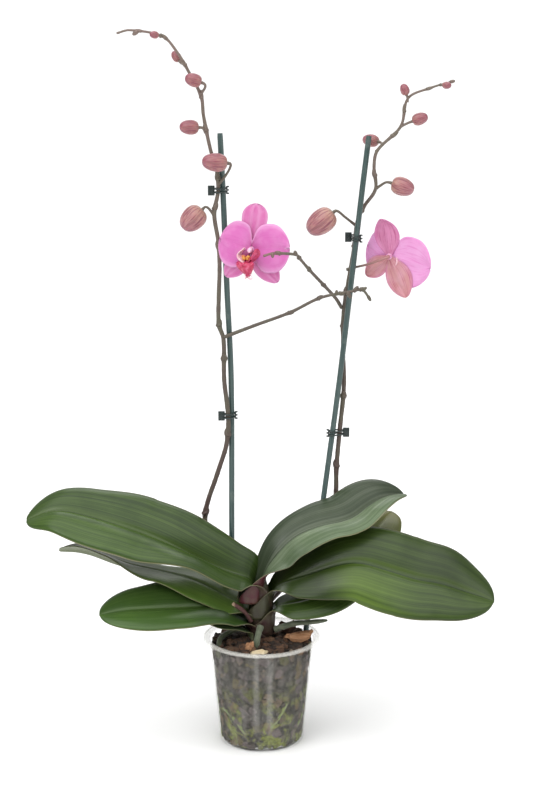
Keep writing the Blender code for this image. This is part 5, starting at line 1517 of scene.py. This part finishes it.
# ---- The columns ----
# The fused stamen and stigma in the middle of each flower: a short waxy pinkish-white club that bends down
# over the lip, with a rounded anther cap on its nose and a round foot that the stalk runs into.
column_finish, tree, shader = finish_of("column skin", Roughness=0.30, Subsurface_Weight=0.15,
                                        Subsurface_Scale=0.002)
place = object_place(tree)
flush = grain(tree, place, 260, 3)
feed(tree, shader, ramp(tree, flush, [(0.3, (0.62, 0.20, 0.42)), (0.5, (0.76, 0.42, 0.60)),
                                      (0.75, (0.82, 0.56, 0.68))]))
raise_grain(tree, shader, flush, 0.1, 0.0003)


def column_skin(name, flower):
    """The column as rings along its bent spine, fuller where the anther cap sits."""
    centre, right, up, facing = flower_axes(flower)
    spine = [centre - facing * 0.0033, centre + facing * 0.001, centre + facing * 0.0045 + up * 0.0006,
             centre + facing * 0.0085 + up * 0.0004, centre + facing * 0.0112 - up * 0.0012,
             centre + facing * 0.0122 - up * 0.0026]
    widths = [(0.0, 0.0024), (0.12, 0.0034), (0.30, 0.0030), (0.46, 0.0022), (0.62, 0.0021), (0.78, 0.0025),
              (0.90, 0.0022), (1.0, 0.0007)]
    rings = []
    for i in range(31):
        place = i / 30
        here, heading = point_along(spine, place), heading_at(spine, place)
        high = heading.cross(right).normalized()
        radius = ramp_of(widths, place)
        cap = 1 + (0.16 if 0.74 < place < 0.97 else 0.0)
        rings.append([here + right * radius * math.cos(math.tau * j / 20)
                      + high * radius * cap * math.sin(math.tau * j / 20) for j in range(20)])
    return close_rings(name, rings)


for prefix, flower in (("front", FRONT_FLOWER), ("back", BACK_FLOWER)):
    name = f"{prefix}_column"
    add_piece(name, column_skin(name, flower), column_finish, [f"{prefix}_flower_column"], "column_pale_pink")

# ---- The stakes ----
# Split-bamboo canes dipped in dark teal-green paint, pushed into the mix behind the spikes. The paint is
# thin, with lengthwise drag marks, and their tops are cut square.
LEFT_STAKE = [(-0.031, 0.026, 0.020), (-0.031, 0.034, 0.223), (-0.031, 0.035, 0.373), (-0.035, 0.035, 0.472),
              (-0.038, 0.035, 0.557), (-0.041, 0.035, 0.623)]
RIGHT_STAKE = [(0.033, 0.006, 0.022), (0.046, 0.018, 0.110), (0.065, 0.050, 0.249), (0.080, 0.055, 0.368),
               (0.091, 0.057, 0.468), (0.102, 0.061, 0.568), (0.108, 0.065, 0.618)]
STAKE_RADIUS = 0.0029
stake_finish, tree, shader = finish_of("teal green paint", Roughness=0.38, Coat_Weight=0.15,
                                       Coat_Roughness=0.2)
place = object_place(tree)
drag = grain(tree, stretched(tree, place, (900, 900, 14)), 1.0, 3)
scuff = grain(tree, place, 75, 4)
colour = ramp(tree, drag, [(0.30, (0.022, 0.050, 0.046)), (0.55, (0.042, 0.078, 0.074)),
                           (0.78, (0.085, 0.125, 0.118))])
colour = blend(tree, within(tree, scuff, 0.58, 0.74, 0.0, 0.45), colour, (0.130, 0.165, 0.150))
feed(tree, shader, colour, within(tree, scuff, 0.3, 0.7, 0.30, 0.50))
raise_grain(tree, shader, drag, 0.25, 0.0004)
for name, node, route in (("stake_left", "left_stake", LEFT_STAKE),
                          ("stake_right", "right_stake", RIGHT_STAKE)):
    widths = [(0.0, STAKE_RADIUS * 0.7), (0.01, STAKE_RADIUS), (0.997, STAKE_RADIUS),
              (1.0, STAKE_RADIUS * 0.9)]
    mesh = stems(name, [(route, widths)], stake_finish, Spacing=0.004, Sides=20, Knobbiness=0.012,
                 Knob_size=60.0)
    add_piece(name, mesh, stake_finish, [node], "stake_teal_green")

# ---- The clips ----
# Spring clips moulded in one piece of dark green plastic: two round bands go round the spike and its stake,
# with a ribbed thumb paddle on one side and a short row of teeth on the other.
clip_finish, tree, shader = finish_of("clip plastic", Roughness=0.30, IOR=1.5)
place = object_place(tree)
mould = grain(tree, place, 900, 3)
feed(tree, shader, ramp(tree, mould, [(0.3, (0.010, 0.018, 0.017)), (0.7, (0.030, 0.046, 0.043))]),
     within(tree, mould, 0.3, 0.7, 0.24, 0.40))
raise_grain(tree, shader, mould, 0.1, 0.0002)
CLIP_WIRE = 0.0008
CLIP_BAND_SPACING = 0.0036
CLIP_PADDLE = (0.0068, 0.0016, 0.0100)


def at_height(route, height):
    """Where a rising route passes a height."""
    low, high = 0.0, 1.0
    for _ in range(30):
        middle = (low + high) / 2
        low, high = (middle, high) if point_along(route, middle).z < height else (low, middle)
    return point_along(route, low)


def rounded_block(name, size, place, bevel):
    """A block with rounded edges, set square to the axes."""
    shape = bmesh.new()
    bmesh.ops.create_cube(shape, size=1.0, matrix=Matrix.Translation(place) @ Matrix.Diagonal((*size, 1.0)))
    bmesh.ops.bevel(shape, geom=shape.edges, offset=bevel, segments=3, profile=0.5, affect="EDGES")
    return mesh_of(name, shape)


def ring_tube(name, outline, radius):
    """A round band along a closed outline."""
    count, sides = len(outline), 10
    rings = []
    for i, here in enumerate(outline):
        ahead = outline[(i + 1) % count] - outline[i - 1]
        out = ahead.cross(Vector((0, 0, 1))).normalized()
        turns = [math.tau * j / sides for j in range(sides)]
        rings.append([here + (out * math.cos(t) + Vector((0, 0, 1)) * math.sin(t)) * radius for t in turns])
    corners = [tuple(point) for ring in rings for point in ring]
    faces = []
    for i in range(count):
        for j in range(sides):
            here, ahead, beside = i * sides, (i + 1) % count * sides, (j + 1) % sides
            faces.append((here + j, here + beside, ahead + beside, ahead + j))
    mesh = bpy.data.meshes.new(name)
    mesh.from_pydata(corners, [], faces)
    return faced_out(mesh)


def clip_mesh(name, spike, stake, height, paddle_side):
    """A clip where a spike and its stake pass a height, its paddle towards -X or +X."""
    stem, rod = at_height(spike, height), at_height(stake, height)
    first, second = Vector((stem.x, stem.y, 0)), Vector((rod.x, rod.y, 0))
    heading = math.atan2(second.y - first.y, second.x - first.x)
    reach = STAKE_RADIUS + CLIP_WIRE + 0.0003
    parts = []
    for side in (-0.5, 0.5):
        outline = []
        for centre, start in ((second, -90), (first, 90)):
            for step in range(13):
                angle = heading + math.radians(start + 15 * step)
                outline.append(Vector((centre.x + reach * math.cos(angle), centre.y + reach * math.sin(angle),
                                       height + side * CLIP_BAND_SPACING)))
        parts.append(ring_tube("band", outline, CLIP_WIRE))
    ends = sorted(outline, key=lambda point: point.x * paddle_side)
    tooth_end, paddle_end = ends[0], ends[-1]
    middle = Vector((paddle_end.x + paddle_side * CLIP_PADDLE[0] * 0.42, paddle_end.y, height))
    parts.append(rounded_block("paddle", CLIP_PADDLE, middle, 0.0006))
    for rib in range(4):
        parts.append(rounded_block("rib", (0.0009, CLIP_PADDLE[1] + 0.0010, 0.0086),
                                   middle + Vector((paddle_side * (-0.0016 + 0.0014 * rib), 0, 0)), 0.0003))
    for step in (-1, 0, 1):
        place = Vector((tooth_end.x - paddle_side * 0.0009, tooth_end.y, height + step * 0.0034))
        parts.append(rounded_block("tooth", (0.0026, 0.0030, 0.0013), place, 0.0003))
    parts.append(rounded_block("tooth bar", (0.0015, 0.0018, 0.0080),
                               Vector((tooth_end.x, tooth_end.y, height)), 0.0004))
    return joined(name, parts)


for name, node, spike, stake, height, side in (
        ("spring_clip_left_upper", "clip_left_upper", LEFT_SPIKE, LEFT_STAKE, 0.567, -1),
        ("spring_clip_left_lower", "clip_left_lower", LEFT_SPIKE, LEFT_STAKE, 0.337, -1),
        ("spring_clip_right_upper", "clip_right_upper", RIGHT_SPIKE, RIGHT_STAKE, 0.515, -1),
        ("spring_clip_right_lower", "clip_right_lower", RIGHT_SPIKE, RIGHT_STAKE, 0.313, 1)):
    add_piece(name, clip_mesh(name, spike, stake, height, side), clip_finish, [node], "clip_dark_green")

# ---- The floor, the light and the camera ----
# A plain white studio floor, a broad soft light overhead with smaller ones in front, at the side and behind,
# and a long lens that looks down a little on the plant.
FLOOR_REACH = 90
floor_mesh = bpy.data.meshes.new("floor")
floor_mesh.from_pydata([(x * FLOOR_REACH, y * FLOOR_REACH, 0) for x,
                        y in ((-1, -1), (1, -1), (1, 1), (-1, 1))],
                       [], [(0, 1, 2, 3)])
floor_finish, tree, shader = finish_of("white floor", Base_Color=(0.92, 0.92, 0.92, 1.0), Roughness=0.8,
                                       Specular_IOR_Level=0.2)
floor_mesh.materials.append(floor_finish)
floor = bpy.data.objects.new("floor", floor_mesh)
bpy.context.scene.collection.objects.link(floor)

sky = bpy.data.worlds.new("studio")
bpy.context.scene.world = sky
sky.use_nodes = True
tree = sky.node_tree
SKY_LIGHT = 0.42
seen = put(tree, "ShaderNodeLightPath").outputs["Is Camera Ray"]
tree.links.new(within(tree, seen, 0.0, 1.0, SKY_LIGHT, 1.0), tree.nodes["Background"].inputs["Strength"])
tree.nodes["Background"].inputs["Color"].default_value = (1.0, 1.0, 1.0, 1.0)
AIM = Vector((0.0, 0.0, 0.33))
sun = bpy.data.lights.new("overhead bank", "SUN")
sun.energy = 2.9
sun.angle = math.radians(85)
sun_stand = bpy.data.objects.new("overhead bank", sun)
sun_stand.rotation_euler = Vector((0.10, 0.30, -1.0)).to_track_quat("-Z", "Y").to_euler()
bpy.context.scene.collection.objects.link(sun_stand)
for name, place, size, power in (("key light", (-1.3, -1.2, 1.7), (0.9, 0.9), 9.0),
                                 ("side light", (1.6, -0.6, 1.1), (0.5, 1.4), 5.0),
                                 ("back light", (0.1, 1.6, 1.5), (1.4, 0.8), 7.0)):
    lamp = bpy.data.lights.new(name, "AREA")
    lamp.shape = "RECTANGLE"
    lamp.size, lamp.size_y = size
    lamp.energy = power
    stand = bpy.data.objects.new(name, lamp)
    stand.location = place
    stand.rotation_euler = (AIM - Vector(place)).to_track_quat("-Z", "Y").to_euler()
    bpy.context.scene.collection.objects.link(stand)

lens = bpy.data.cameras.new("camera")
lens.sensor_width = 36.0
lens.lens = 82.17
lens.clip_end = 400.0
camera = bpy.data.objects.new("camera", lens)
camera.location = (0.005, -1.782, 0.772)
camera.rotation_euler = (math.radians(77.0), 0.0, 0.0)
bpy.context.scene.collection.objects.link(camera)
bpy.context.scene.camera = camera
bpy.context.scene.view_settings.view_transform = "Standard"
